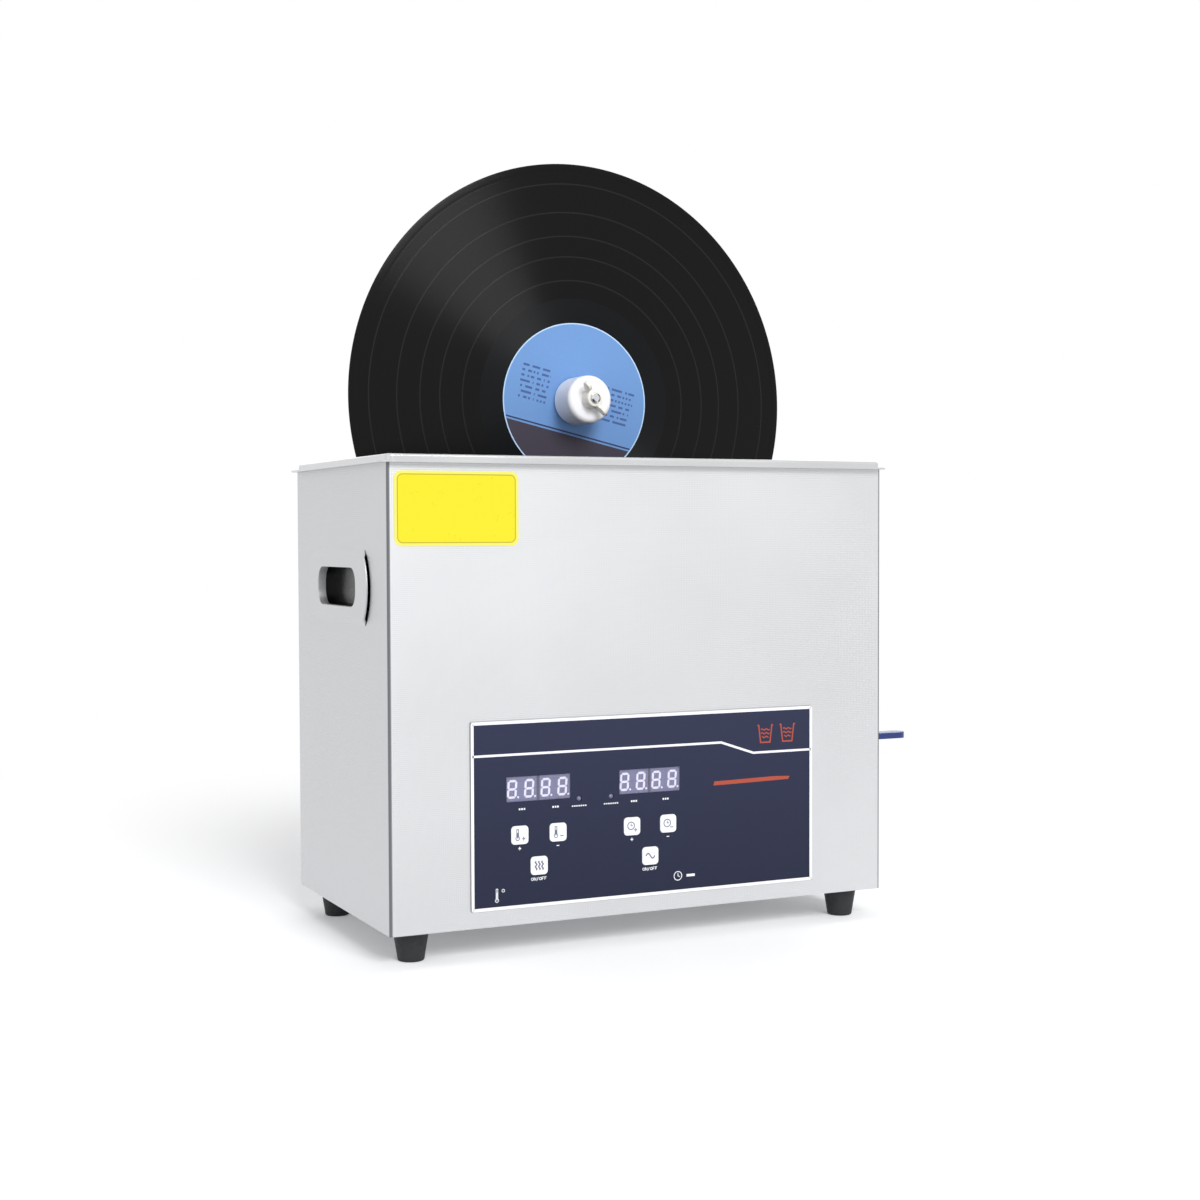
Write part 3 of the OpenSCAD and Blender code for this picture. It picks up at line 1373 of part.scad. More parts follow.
// Coupling sleeve between the motor's shaft and the spindle, with its two set screws
coupling_r = 8;
coupling_l = 22;
coupling_y = carriage_y - 1.5 - run_gap;
module shaft_coupling() {
    color("silver") difference() {
        on_spindle(coupling_y) cylinder(r = coupling_r, h = coupling_l);
        on_spindle(coupling_y + cut) cylinder(r = motor_shaft_r + fit_gap, h = coupling_l / 2 + cut);
        on_spindle(coupling_y - coupling_l / 2) cylinder(r = spindle_d / 2 + fit_gap, h = coupling_l);
        for (k = [0.25, 0.75]) translate([0, coupling_y - k * coupling_l, spindle_z])
            cylinder(r = screw_r, h = coupling_r + cut);
    }
}

// Places along the spindle, from the record to both sides
record_front_y = record_y - record_t / 2;
record_back_y = record_y + record_t / 2;
gasket_y = record_front_y - label_t;
front_hub_y = gasket_y - gasket_t;
nut_y = front_hub_y - hub_l;
nut_l = 7;
spindle_tip_y = nut_y - nut_l - 2;
thread_start_y = front_hub_y - hub_l / 2;
rear_hub_y = record_back_y + label_t;
thread_r = thread_d / 2;

collar_l = 5;
// Steel spindle with its threaded front end, and the motor's shaft behind the coupling
module spindle() {
    color("silver") {
        spindle_back_y = coupling_y - coupling_l / 2 - fit_gap;
        on_spindle(spindle_back_y) cylinder(r = spindle_d / 2, h = spindle_back_y - thread_start_y);
        on_spindle(thread_start_y + fit_gap)
            cylinder(r = thread_r, h = thread_start_y - spindle_tip_y - 1 + fit_gap);
        on_spindle(spindle_tip_y + 1) cylinder(r1 = thread_r, r2 = thread_r - 1, h = 1);
        to_back(0, spindle_back_y + 2 * fit_gap, spindle_z)
            cylinder(r = motor_shaft_r, h = motor_y + shaft_seat - spindle_back_y - 4 * fit_gap);
        on_spindle(rear_hub_y + rear_hub_l + collar_l) difference() {
            cylinder(r = spindle_d / 2 + 3, h = collar_l);
            translate([0, 0, -cut]) cylinder(r = spindle_d / 4, h = collar_l + 2 * cut);
        }
    }
}

// White rear hub, against the spindle's collar
module rear_hub() {
    color("white") on_spindle(rear_hub_y + rear_hub_l) rotate_extrude() difference() {
        square([hub_d / 2, rear_hub_l]);
        square([spindle_d + 2 * fit_gap, 3 * rear_hub_l], center = true);
        translate([hub_d / 2, 0]) rotate(45) square(3 * sqrt(2), center = true);
    }
}

hole_r = spindle_d / 2 + 0.12;
// Pressed vinyl record: edge bead, thinner grooved band, run-out and label seat
module record() {
    color("black") on_spindle(record_y) rotate_extrude($fn = 96) {
        half = record_t / 2;
        thin = groove_t / 2;
        bead_x = record_r - bead_w;
        edge_x = record_r - half / 2;
        polygon([
            [hole_r, -half], [runout_r - 3, -half], [runout_r, -thin], [bead_x - 2, -thin],
            [bead_x, -half + 0.05], [edge_x, -half], [record_r, -half / 2],
            [record_r, half / 2], [edge_x, half], [bead_x, half - 0.05],
            [bead_x - 2, thin], [runout_r, thin], [runout_r - 3, half], [hole_r, half],
        ]);
    }
}

// Paper labels pressed on both faces of the record
module record_labels() {
    color("lightskyblue") for (y = [record_front_y, record_back_y + label_t])
        on_spindle(y) ring(label_r, hole_r, label_t);
}

// Rubber gasket between the front hub and the label
module front_gasket() {
    color("dimgray") on_spindle(gasket_y) ring(hub_d / 2 - 2.5, spindle_d / 2 + slide_gap, gasket_t);
}

// White front hub with a rounded front edge, which slides on the spindle
hub_edge_r = 3;
module front_hub() {
    color("white") on_spindle(front_hub_y) difference() {
        rotate_extrude() {
            square([hub_d / 2, hub_l - hub_edge_r]);
            square([hub_d / 2 - hub_edge_r, hub_l]);
            translate([hub_d / 2 - hub_edge_r, hub_l - hub_edge_r]) intersection() {
                circle(hub_edge_r);
                square(hub_edge_r);
            }
        }
        translate([0, 0, -cut]) cylinder(r = spindle_d / 2 + slide_gap, h = hub_l + 2 * cut);
    }
}

// White wing nut on the spindle's thread
wing_angle = 56;
wing_tip_r = 3.2;
module wing_nut() {
    color("white") on_spindle(nut_y - fit_gap) rotate(-wing_angle) difference() {
        union() {
            cylinder(r1 = thread_r + 3.6, r2 = thread_r + 2.4, h = nut_l);
            for (s = [0, 1]) mirror([s, 0, 0]) rotate([90, 0, 0]) linear_extrude(wing_t, center = true) {
                polygon([[thread_r + 1, 0.6], [thread_r + 3, 0.6], [wing_span / 2 - 1.2, nut_l - 2.6],
                    [wing_span / 2 - 4.4, nut_l + 2.4], [thread_r + 1, nut_l - 1.2]]);
                translate([wing_span / 2 - wing_tip_r, nut_l]) circle(wing_tip_r);
            }
        }
        translate([0, 0, -cut]) cylinder(r = thread_r + slide_gap, h = nut_l + 2 * cut);
    }
}

// Star knob whose screw clamps the carriage to the right-hand rod
module lock_knob() {
    color("black") {
        knob_x = carriage_w / 2 + 4;
        to_right(rod_x + rod_d / 2 + 2 * slide_gap, rod_y, lock_z)
            cylinder(r = screw_rad, h = knob_x - rod_x - rod_d / 2 + 4);
        to_right(knob_x, rod_y, lock_z) star_knob(11, 6);
        to_right(knob_x - 3, rod_y, lock_z) cylinder(r1 = screw_rad + 2, r2 = screw_rad + 5, h = 3 + fit_gap);
    }
}

outer_shell();
back_panel();
bottom_plate();
top_rim();
tank();
handle_cups();
panel_overlay();
display_windows();
digit_modules();
indicator_lamps();
control_board();
key_temp_up();
key_temp_down();
key_heater();
key_time_up();
key_time_down();
key_sonic();
generator_board();
heat_sink();
transducer_horns();
piezo_rings();
transducer_backs();
heater_pads();
feet();
case_screws();
drain_fitting();
drain_hose();
valve_body();
valve_outlet();
valve_seats();
valve_ball();
valve_stem();
drain_lever();
lever_sleeve();
power_inlet();
inlet_blades();
fuse_drawer();
power_rocker();
fan_frame();
fan_rotor();
fan_guard();
hook_bracket();
rod_base();
guide_rods();
rod_caps();
carriage_housing();
housing_cover();
carriage_bushes();
gear_motor();
shaft_coupling();
spindle();
rear_hub();
record();
record_labels();
front_gasket();
front_hub();
wing_nut();
lock_knob();
clamp_screw_left();
clamp_screw_right();
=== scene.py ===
import math

import bmesh
import bpy
from mathutils import Matrix, Vector


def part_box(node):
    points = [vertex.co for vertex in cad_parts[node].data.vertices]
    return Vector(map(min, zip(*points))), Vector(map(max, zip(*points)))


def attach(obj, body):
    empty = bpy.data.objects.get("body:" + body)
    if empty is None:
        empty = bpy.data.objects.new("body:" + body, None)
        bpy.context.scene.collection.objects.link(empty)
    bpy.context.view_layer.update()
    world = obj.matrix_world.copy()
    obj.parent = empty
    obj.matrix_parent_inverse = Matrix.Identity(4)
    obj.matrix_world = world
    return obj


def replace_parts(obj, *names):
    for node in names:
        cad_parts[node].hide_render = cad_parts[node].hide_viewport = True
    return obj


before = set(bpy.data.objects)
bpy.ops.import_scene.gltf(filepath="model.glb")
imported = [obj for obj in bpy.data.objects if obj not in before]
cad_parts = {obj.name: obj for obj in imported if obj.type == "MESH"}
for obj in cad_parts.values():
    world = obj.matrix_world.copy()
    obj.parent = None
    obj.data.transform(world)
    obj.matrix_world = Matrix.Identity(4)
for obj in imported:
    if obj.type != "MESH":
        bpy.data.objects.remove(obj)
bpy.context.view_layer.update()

# Camera, floor and light.
# The camera stands in front of the machine's left-hand corner, at about the height of the finger slots.
# The floor is a white paper roll, and the light is a broad soft box in front with two weak fills.
MM = 0.001
YAW, PITCH, ROLL = (math.radians(a) for a in (25.414, -1.966, -0.188))


def show(name, data):
    """Puts a new object in the scene."""
    made = bpy.data.objects.new(name, data)
    bpy.context.scene.collection.objects.link(made)
    return made


look = Vector((math.sin(YAW) * math.cos(PITCH), math.cos(YAW) * math.cos(PITCH), math.sin(PITCH)))
level = Vector((math.cos(YAW), -math.sin(YAW), 0.0))
upright = level.cross(look)
right = level * math.cos(ROLL) + upright * math.sin(ROLL)
above = upright * math.cos(ROLL) - level * math.sin(ROLL)
camera = show("camera", bpy.data.cameras.new("camera"))
camera.data.lens = 54.73
camera.data.sensor_width = 36.0
camera.data.clip_start, camera.data.clip_end = 0.05, 60.0
camera.matrix_world = Matrix((right, above, -look)).transposed().to_4x4()
camera.location = Vector((-488.8, -1048.0, 240.06)) * MM
bpy.context.scene.camera = camera
bpy.context.scene.view_settings.view_transform = "Standard"


def linear(colour):
    """An sRGB hex colour as the linear values that a shader takes."""
    parts = [int(colour[i:i + 2], 16) / 255 for i in (1, 3, 5)]
    return (*[c / 12.92 if c <= 0.04045 else ((c + 0.055) / 1.055) ** 2.4 for c in parts], 1.0)


def add(tree, kind, inputs=None, into=None, out=0, **settings):
    """Adds a node. Its inputs are values, sockets or lists of sockets, and into is what its output feeds."""
    made = tree.nodes.new(kind)
    for name, value in settings.items():
        setattr(made, name, value)
    for name, value in (inputs or {}).items():
        sources = value if isinstance(value, list) else [value]
        if isinstance(sources[0], bpy.types.NodeSocket):
            for source in sources:
                tree.links.new(source, made.inputs[name])
        else:
            made.inputs[name].default_value = value
    if into is not None:
        tree.links.new(made.outputs[out], into)
    return made


def seen_directly(tree):
    """1 for what the camera, a gloss or a glass sees, and 0 for the light that falls on things."""
    path = add(tree, "ShaderNodeLightPath")
    some = add(tree, "ShaderNodeMath", {0: path.outputs["Is Camera Ray"], 1: path.outputs["Is Glossy Ray"]},
               operation="ADD")
    return add(tree, "ShaderNodeMath", {0: some.outputs[0], 1: path.outputs["Is Transmission Ray"]},
               operation="ADD", use_clamp=True).outputs[0]


world = bpy.data.worlds.new("studio")
world.use_nodes = True
bpy.context.scene.world = world
sky = world.node_tree
sky.nodes.clear()
shade = add(sky, "ShaderNodeMix", {0: seen_directly(sky), 6: (0.50, 0.505, 0.515, 1), 7: (1, 1, 1, 1)},
            data_type="RGBA")
sky_light = add(sky, "ShaderNodeBackground", {"Color": shade.outputs[2], "Strength": 1.0})
add(sky, "ShaderNodeOutputWorld", {"Surface": sky_light.outputs[0]})

for name, towards, strength, spread in (
    ("key_softbox", (0.0, -0.85, 0.57), 2.05, 26),
    ("side_fill", (-0.85, -0.35, 0.40), 0.12, 60),
    ("rear_fill", (0.50, 0.80, 0.45), 0.55, 60),
):
    lamp = show(name, bpy.data.lights.new(name, "SUN"))
    lamp.data.energy = strength
    lamp.data.angle = math.radians(spread)
    lamp.rotation_mode = "QUATERNION"
    lamp.rotation_quaternion = Vector(towards).to_track_quat("Z", "Y")

FLOOR_R, SHADOW_R, WHITE_R = 9.0, 0.30, 0.9
floor_mesh = bpy.data.meshes.new("floor")
floor_form = bmesh.new()
bmesh.ops.create_circle(floor_form, cap_ends=True, segments=64, radius=FLOOR_R)
floor_form.to_mesh(floor_mesh)
floor_form.free()
floor = show("floor", floor_mesh)
paper_roll = bpy.data.materials.new("white_backdrop_paper")
paper_roll.use_nodes = True
roll = paper_roll.node_tree
roll.nodes.clear()
place = add(roll, "ShaderNodeTexCoord")
reach = add(roll, "ShaderNodeVectorMath", {0: place.outputs["Object"]}, operation="LENGTH")
far = add(roll, "ShaderNodeMapRange",
          {"Value": reach.outputs["Value"], "From Min": SHADOW_R, "From Max": WHITE_R})
matt = add(roll, "ShaderNodeBsdfDiffuse", {"Color": linear("#f7f7f7")})
lift = add(roll, "ShaderNodeMath", {0: seen_directly(roll), 1: 0.18}, operation="MULTIPLY")
lifted = add(roll, "ShaderNodeEmission", {"Color": (1, 1, 1, 1), "Strength": lift.outputs[0]})
near_look = add(roll, "ShaderNodeAddShader", {0: matt.outputs[0], 1: lifted.outputs[0]})
far_look = add(roll, "ShaderNodeEmission", {"Color": (1, 1, 1, 1), "Strength": 1.0})
both = add(roll, "ShaderNodeMixShader", {0: far.outputs[0], 1: near_look.outputs[0], 2: far_look.outputs[0]})
add(roll, "ShaderNodeOutputMaterial", {"Surface": both.outputs[0]})
floor_mesh.materials.append(paper_roll)


# Casing.
# One stainless sheet with a rolled-in linen pattern, bent round the two front corners, with a rear wall
# of the same sheet. The pattern scatters light, so the steel looks pale and even; the darker line along the
# bends is a painted shade.
def start(name, colour, roughness, metallic=0.0, **extra):
    """A new material, its tree and its shader, with the values that are the same all over."""
    made = bpy.data.materials.new(name)
    made.use_nodes = True
    shader = made.node_tree.nodes["Principled BSDF"]
    settings = {"Base Color": linear(colour), "Roughness": roughness, "Metallic": metallic, **extra}
    for socket, value in settings.items():
        shader.inputs[socket].default_value = value
    return made, made.node_tree, shader


def blots(tree, shader, scale, low, high, detail=4.0):
    """Lets the roughness wander between two values, with blots of the size 1/scale metres."""
    where = add(tree, "ShaderNodeTexCoord")
    noise = add(tree, "ShaderNodeTexNoise",
                {"Vector": where.outputs["Object"], "Scale": scale, "Detail": detail})
    add(tree, "ShaderNodeMapRange", {"Value": noise.outputs[0], "From Min": 0.3, "From Max": 0.7,
                                     "To Min": low, "To Max": high}, into=shader.inputs["Roughness"])
    return noise.outputs[0]


def dress(material, *names):
    """Gives CAD nodes their finish."""
    for name in names:
        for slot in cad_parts[name].material_slots:
            slot.material = material


FRONT_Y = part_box("outer_shell")[0].y / MM
SIDE_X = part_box("back_panel")[1].x / MM
LINEN_PITCH = 2.2 * MM  # the real threads are 1.1 mm apart; twice that is the finest that shows
linen_steel, tree, shader = start("linen_rolled_stainless_steel", "#cecfd1", 0.48, metallic=1.0)
where = add(tree, "ShaderNodeTexCoord")
axes = add(tree, "ShaderNodeSeparateXYZ", {0: where.outputs["Object"]})
along = add(tree, "ShaderNodeMath", {0: axes.outputs[0], 1: axes.outputs[1]}, operation="ADD")
threads = []
for sign in (1.0, -1.0):
    slant = add(tree, "ShaderNodeMath", {0: axes.outputs[2], 1: sign, 2: along.outputs[0]},
                operation="MULTIPLY_ADD")
    turns = add(tree, "ShaderNodeMath", {0: slant.outputs[0], 1: 2 * math.pi / LINEN_PITCH},
                operation="MULTIPLY")
    threads.append(add(tree, "ShaderNodeMath", {0: turns.outputs[0]}, operation="SINE").outputs[0])
weave = add(tree, "ShaderNodeMath", {0: threads[0], 1: threads[1]}, operation="MULTIPLY")
cloudy = blots(tree, shader, 9.0, 0.45, 0.53, detail=6.0)
add(tree, "ShaderNodeBump", {"Height": weave.outputs[0], "Distance": 0.03 * MM, "Strength": 1.0},
    into=shader.inputs["Normal"])
tint = add(tree, "ShaderNodeMix", {0: cloudy, 6: linear("#cacbcd"), 7: linear("#d2d3d5")}, data_type="RGBA")
# Painted shade: a narrow band along each front bend is painted dark grey.
sideways = add(tree, "ShaderNodeMath", {0: axes.outputs[0]}, operation="ABSOLUTE")
at_side = add(tree, "ShaderNodeMapRange",
              {"Value": sideways.outputs[0], "From Min": (SIDE_X - 1.9) * MM, "From Max": (SIDE_X - 1.2) * MM})
at_front = add(tree, "ShaderNodeMapRange",
               {"Value": axes.outputs[1], "From Min": (FRONT_Y + 2.0) * MM, "From Max": (FRONT_Y + 1.3) * MM})
painted_bend_shade = add(tree, "ShaderNodeMath", {0: at_side.outputs[0], 1: at_front.outputs[0]}, operation="MULTIPLY")
add(tree, "ShaderNodeMix", {0: painted_bend_shade.outputs[0], 6: tint.outputs[2], 7: linear("#77787c")}, data_type="RGBA",
    into=shader.inputs["Base Color"], out=2)
dress(linen_steel, "outer_shell", "back_panel")

# Rim and tank.
# The rim is a pressed stainless frame, and the tank is deep-drawn from one sheet and welded under it.
# Both are smooth mill-finished steel with fine marks along the drawing direction.
drawn_steel, tree, shader = start("deep_drawn_stainless_steel", "#d2d3d4", 0.26, metallic=1.0)
where = add(tree, "ShaderNodeTexCoord")
drawn = add(tree, "ShaderNodeMapping", {"Vector": where.outputs["Object"], "Scale": (1, 1, 0.06)})
marks = add(tree, "ShaderNodeTexNoise", {"Vector": drawn.outputs[0], "Scale": 900.0, "Detail": 3.0})
add(tree, "ShaderNodeBump", {"Height": marks.outputs[0], "Distance": 0.01 * MM, "Strength": 1.0},
    into=shader.inputs["Normal"])
blots(tree, shader, 14.0, 0.20, 0.32)
dress(drawn_steel, "top_rim", "tank")

# Bottom pan, fan guard and lever.
# Plain zinc-plated sheet and wire, folded or bent, with the faint crystal clouds of the plating.
plated_steel, tree, shader = start("zinc_plated_steel", "#b9bcc0", 0.36, metallic=1.0)
where = add(tree, "ShaderNodeTexCoord")
crystals = add(tree, "ShaderNodeTexVoronoi", {"Vector": where.outputs["Object"], "Scale": 160.0})
add(tree, "ShaderNodeMix", {0: crystals.outputs["Distance"], 6: linear("#a9adb2"), 7: linear("#c4c7ca")},
    data_type="RGBA", into=shader.inputs["Base Color"], out=2)
blots(tree, shader, 30.0, 0.30, 0.42)
dress(plated_steel, "bottom_plate", "fan_guard", "drain_lever")


# Screws and nuts.
# Zinc-plated machine screws with domed heads and cross recesses, each turned as far as it went in.
# They stand where the CAD screws do: each of its solids gives one seat, a direction and a length.
def loose_parts(node):
    """The boxes and points of a CAD node's separate solids, in mm, from left to right."""
    form = bmesh.new()
    form.from_mesh(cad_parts[node].data)
    bmesh.ops.remove_doubles(form, verts=form.verts, dist=1e-6)
    unseen, parts = set(form.verts), []
    while unseen:
        edge_of_it, part = [unseen.pop()], []
        while edge_of_it:
            corner = edge_of_it.pop()
            part.append(corner.co / MM)
            for other in (link.other_vert(corner) for link in corner.link_edges):
                if other in unseen:
                    unseen.discard(other)
                    edge_of_it.append(other)
        low = Vector([min(p[k] for p in part) for k in range(3)])
        high = Vector([max(p[k] for p in part) for k in range(3)])
        parts.append((low, high, part))
    form.free()
    return sorted(parts, key=lambda each: [round(c, 2) for c in each[0]])


def tree_input(tree, label):
    """The identifier of a geometry tree's named input."""
    return next(item.identifier for item in tree.interface.items_tree
                if item.item_type == "SOCKET" and item.in_out == "INPUT" and item.name == label)


def new_geometry(name, **sizes):
    """An empty geometry tree with a named number for each size, and its input and output nodes."""
    tree = bpy.data.node_groups.new(name, "GeometryNodeTree")
    tree.interface.new_socket("Geometry", in_out="INPUT", socket_type="NodeSocketGeometry")
    tree.interface.new_socket("Geometry", in_out="OUTPUT", socket_type="NodeSocketGeometry")
    for label, value in sizes.items():
        size = tree.interface.new_socket(label, in_out="INPUT", socket_type="NodeSocketFloat")
        size.default_value = value
    return tree, add(tree, "NodeGroupInput").outputs, add(tree, "NodeGroupOutput").inputs[0]


def set_piece(name, mesh, body):
    """Puts a mesh in the scene as a piece that rides on a body."""
    piece = show(name, mesh)
    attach(piece, body)
    return piece


def grow(name, tree, seeds, body, slot, place=None, **sizes):
    """Runs a geometry tree on a seed mesh and keeps the plain mesh, which rides on a body."""
    seed = show(name + "_seed", seeds)
    modifier = seed.modifiers.new("grow", "NODES")
    modifier.node_group = tree
    for label, value in sizes.items():
        modifier[tree_input(tree, label)] = value
    graph = bpy.context.evaluated_depsgraph_get()
    mesh = bpy.data.meshes.new_from_object(seed.evaluated_get(graph), depsgraph=graph)
    seed.modifiers.remove(modifier)
    bpy.data.objects.remove(seed)
    if place is not None:
        mesh.transform(place)
    mesh.name = name
    return set_piece(name, mesh, body)


SCREW_HEAD_R, SCREW_HEAD_H, SHANK_R = 3.0, 2.0, 1.5
tree, size, done = new_geometry(
    "cross_recess_screws", head_radius=SCREW_HEAD_R * MM, head_height=SCREW_HEAD_H * MM,
    shank_radius=SHANK_R * MM, recess_length=3.4 * MM, recess_width=0.75 * MM, recess_depth=1.2 * MM,
    nut_radius=3.2 * MM, nut_height=2.4 * MM)
disc = add(tree, "GeometryNodeMeshCylinder",
           {"Vertices": 24, "Radius": size["head_radius"], "Depth": size["head_height"]})
half = add(tree, "ShaderNodeMath", {0: size["head_height"], 1: 0.5}, operation="MULTIPLY")
dome_r = add(tree, "ShaderNodeMath", {0: size["head_radius"], 1: 2.2}, operation="MULTIPLY")
dome_z = add(tree, "ShaderNodeMath", {0: half.outputs[0], 1: dome_r.outputs[0]}, operation="SUBTRACT")
dome_at = add(tree, "ShaderNodeCombineXYZ", {"Z": dome_z.outputs[0]})
ball = add(tree, "GeometryNodeMeshUVSphere", {"Segments": 24, "Rings": 30, "Radius": dome_r.outputs[0]})
dome = add(tree, "GeometryNodeTransform", {"Geometry": ball.outputs[0], "Translation": dome_at.outputs[0]})
domed = add(tree, "GeometryNodeMeshBoolean", {1: [disc.outputs[0], dome.outputs[0]]}, operation="INTERSECT",
            solver="EXACT")
bars = []
for along_x in (True, False):
    bar_size = add(tree, "ShaderNodeCombineXYZ",
                   {"X": size["recess_length" if along_x else "recess_width"],
                    "Y": size["recess_width" if along_x else "recess_length"], "Z": size["recess_depth"]})
    bars.append(add(tree, "GeometryNodeMeshCube", {"Size": bar_size.outputs[0]}).outputs[0])
recess_at = add(tree, "ShaderNodeCombineXYZ", {"Z": half.outputs[0]})
crossed = add(tree, "GeometryNodeMeshBoolean", {1: bars}, operation="UNION", solver="EXACT")
recess = add(tree, "GeometryNodeTransform",
             {"Geometry": crossed.outputs[0], "Translation": recess_at.outputs[0]})
head = add(tree, "GeometryNodeMeshBoolean", {0: domed.outputs[0], 1: recess.outputs[0]},
           operation="DIFFERENCE", solver="EXACT")
seated = add(tree, "GeometryNodeTransform", {"Geometry": head.outputs[0], "Translation": recess_at.outputs[0]})
rod = add(tree, "GeometryNodeMeshCylinder", {"Vertices": 20, "Radius": size["shank_radius"], "Depth": 1.0})
hung = add(tree, "GeometryNodeTransform", {"Geometry": rod.outputs[0], "Translation": (0, 0, -0.5)})
hexagon = add(tree, "GeometryNodeMeshCylinder",
              {"Vertices": 6, "Radius": size["nut_radius"], "Depth": size["nut_height"]})
drill = add(tree, "GeometryNodeMeshCylinder", {"Vertices": 20, "Radius": size["shank_radius"], "Depth": 0.01})
nut = add(tree, "GeometryNodeMeshBoolean", {0: hexagon.outputs[0], 1: drill.outputs[0]},
          operation="DIFFERENCE", solver="EXACT")
heading = add(tree, "GeometryNodeInputNamedAttribute", {"Name": "heading"}, data_type="FLOAT_VECTOR")
shank = add(tree, "GeometryNodeInputNamedAttribute", {"Name": "shank"}, data_type="FLOAT")
is_nut, is_screw = (add(tree, "ShaderNodeMath", {0: shank.outputs[0], 1: 0.0001}, operation=test)
                    for test in ("LESS_THAN", "GREATER_THAN"))
twist = add(tree, "FunctionNodeRandomValue", {2: 0.0, 3: math.pi / 2, "Seed": 5}, data_type="FLOAT")
twisted = add(tree, "ShaderNodeCombineXYZ", {"Z": twist.outputs[1]})
spun = add(tree, "FunctionNodeEulerToRotation", {0: twisted.outputs[0]})
turned = add(tree, "FunctionNodeAlignRotationToVector",
             {"Rotation": spun.outputs[0], "Vector": heading.outputs[0]}, axis="Z")
long = add(tree, "ShaderNodeCombineXYZ", {"X": 1.0, "Y": 1.0, "Z": shank.outputs[0]})
sets = []
for form, chosen, scale in ((seated, is_screw, (1, 1, 1)), (hung, is_screw, long.outputs[0]),
                            (nut, is_nut, (1, 1, 1))):
    sets.append(add(tree, "GeometryNodeInstanceOnPoints", {
        "Points": size[0], "Selection": chosen.outputs[0], "Instance": form.outputs[0],
        "Rotation": turned.outputs[0], "Scale": scale}).outputs[0])
joined = add(tree, "GeometryNodeJoinGeometry", {0: sets})
real = add(tree, "GeometryNodeRealizeInstances", {0: joined.outputs[0]})
add(tree, "GeometryNodeSetMaterial", {0: real.outputs[0], "Material": plated_steel}, into=done)

seats, headings, shanks = [], [], []
for low, high, points in loose_parts("case_screws"):
    extent, middle = high - low, (low + high) / 2
    axis = max(range(3), key=lambda k: extent[k])
    if extent[axis] < 2 * SCREW_HEAD_R + 0.5:
        axis = min(range(3), key=lambda k: extent[k])
        seats.append(middle * MM)
        headings.append((0.0, 0.0, 1.0))
        shanks.append(0.0)
        continue
    wide = [p[axis] for p in points if sum((p[k] - middle[k]) ** 2 for k in range(3) if k != axis) > 5.0]
    sign = 1 if sum(wide) / len(wide) > middle[axis] else -1
    seat = middle.copy()
    seat[axis] = (high if sign > 0 else low)[axis] - sign * SCREW_HEAD_H
    seats.append(seat * MM)
    headings.append([float(sign) if k == axis else 0.0 for k in range(3)])
    shanks.append((extent[axis] - SCREW_HEAD_H) * MM)
seat_points = bpy.data.meshes.new("screw_seats")
seat_points.from_pydata(seats, [], [])
for label, kind, field, values in (("heading", "FLOAT_VECTOR", "vector", sum(map(list, headings), [])),
                                   ("shank", "FLOAT", "value", shanks)):
    seat_points.attributes.new(label, kind, "POINT").data.foreach_set(field, values)
screws = grow("cross_head_screws", tree, seat_points, "cabinet", "screw_steel")
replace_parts(screws, "case_screws")

# Finger cups.
# Black ABS, vacuum-formed and glossy, clipped behind the two slots in the sides.
glossy_abs, tree, shader = start("vacuum_formed_black_abs", "#141415", 0.22, IOR=1.53)
ripple = blots(tree, shader, 60.0, 0.16, 0.30)
add(tree, "ShaderNodeBump", {"Height": ripple, "Distance": 0.08 * MM}, into=shader.inputs["Normal"])
dress(glossy_abs, "handle_cups", "power_rocker")


# Control panel.
# A polyester foil, printed from behind in dark blue, with a white border, a cranked white rule, small
# pictograms and a red bar. The inks are thin raised films on the foil.
def new_piece(name, form, material, body):
    """Closes a form into a piece that rides on a body."""
    bmesh.ops.remove_doubles(form, verts=form.verts, dist=1e-7)
    bmesh.ops.recalc_face_normals(form, faces=form.faces)
    mesh = bpy.data.meshes.new(name)
    form.to_mesh(mesh)
    form.free()
    mesh.materials.append(material)
    return set_piece(name, mesh, body)


def strip(form, inner, outer, y_front, y_back, closed=True):
    """A flat band between two lines of points in X and Z, standing across the machine. All in mm."""
    rows = [[form.verts.new((x * MM, y * MM, z * MM)) for x, z in line]
            for line, y in ((outer, y_front), (inner, y_front), (inner, y_back), (outer, y_back))]
    count = len(inner)
    for i in range(count if closed else count - 1):
        j = (i + 1) % count
        for a, b in ((0, 1), (1, 2), (2, 3), (3, 0)):
            form.faces.new((rows[a][i], rows[a][j], rows[b][j], rows[b][i]))
    if not closed:
        for i in (0, count - 1):
            form.faces.new([row[i] for row in rows])


def plate(form, line, y_front, y_back):
    """A flat plate with the outline of a line of points in X and Z."""
    front, back = ([form.verts.new((x * MM, y * MM, z * MM)) for x, z in line] for y in (y_front, y_back))
    form.faces.new(front)
    form.faces.new(back)
    for i in range(len(line)):
        j = (i + 1) % len(line)
        form.faces.new((front[i], front[j], back[j], back[i]))


def beside(line, distance, closed=False):
    """The points of a line moved sideways by a distance, with mitred corners."""
    moved, count = [], len(line)
    for i in range(count):
        before = Vector(line[i]) - Vector(line[i - 1]) if closed or i > 0 else None
        after = Vector(line[(i + 1) % count]) - Vector(line[i]) if closed or i < count - 1 else None
        before, after = (before or after).normalized(), (after or before).normalized()
        normal = Vector((-(before + after)[1], (before + after)[0])).normalized()
        stretch = max(0.35, normal.dot(Vector((-before[1], before[0]))))
        moved.append(tuple(Vector(line[i]) + normal * distance / stretch))
    return moved


def stroke(form, line, width, y_front, y_back, closed=False):
    """A drawn line of one width."""
    strip(form, beside(line, width / 2, closed), beside(line, -width / 2, closed), y_front, y_back, closed)


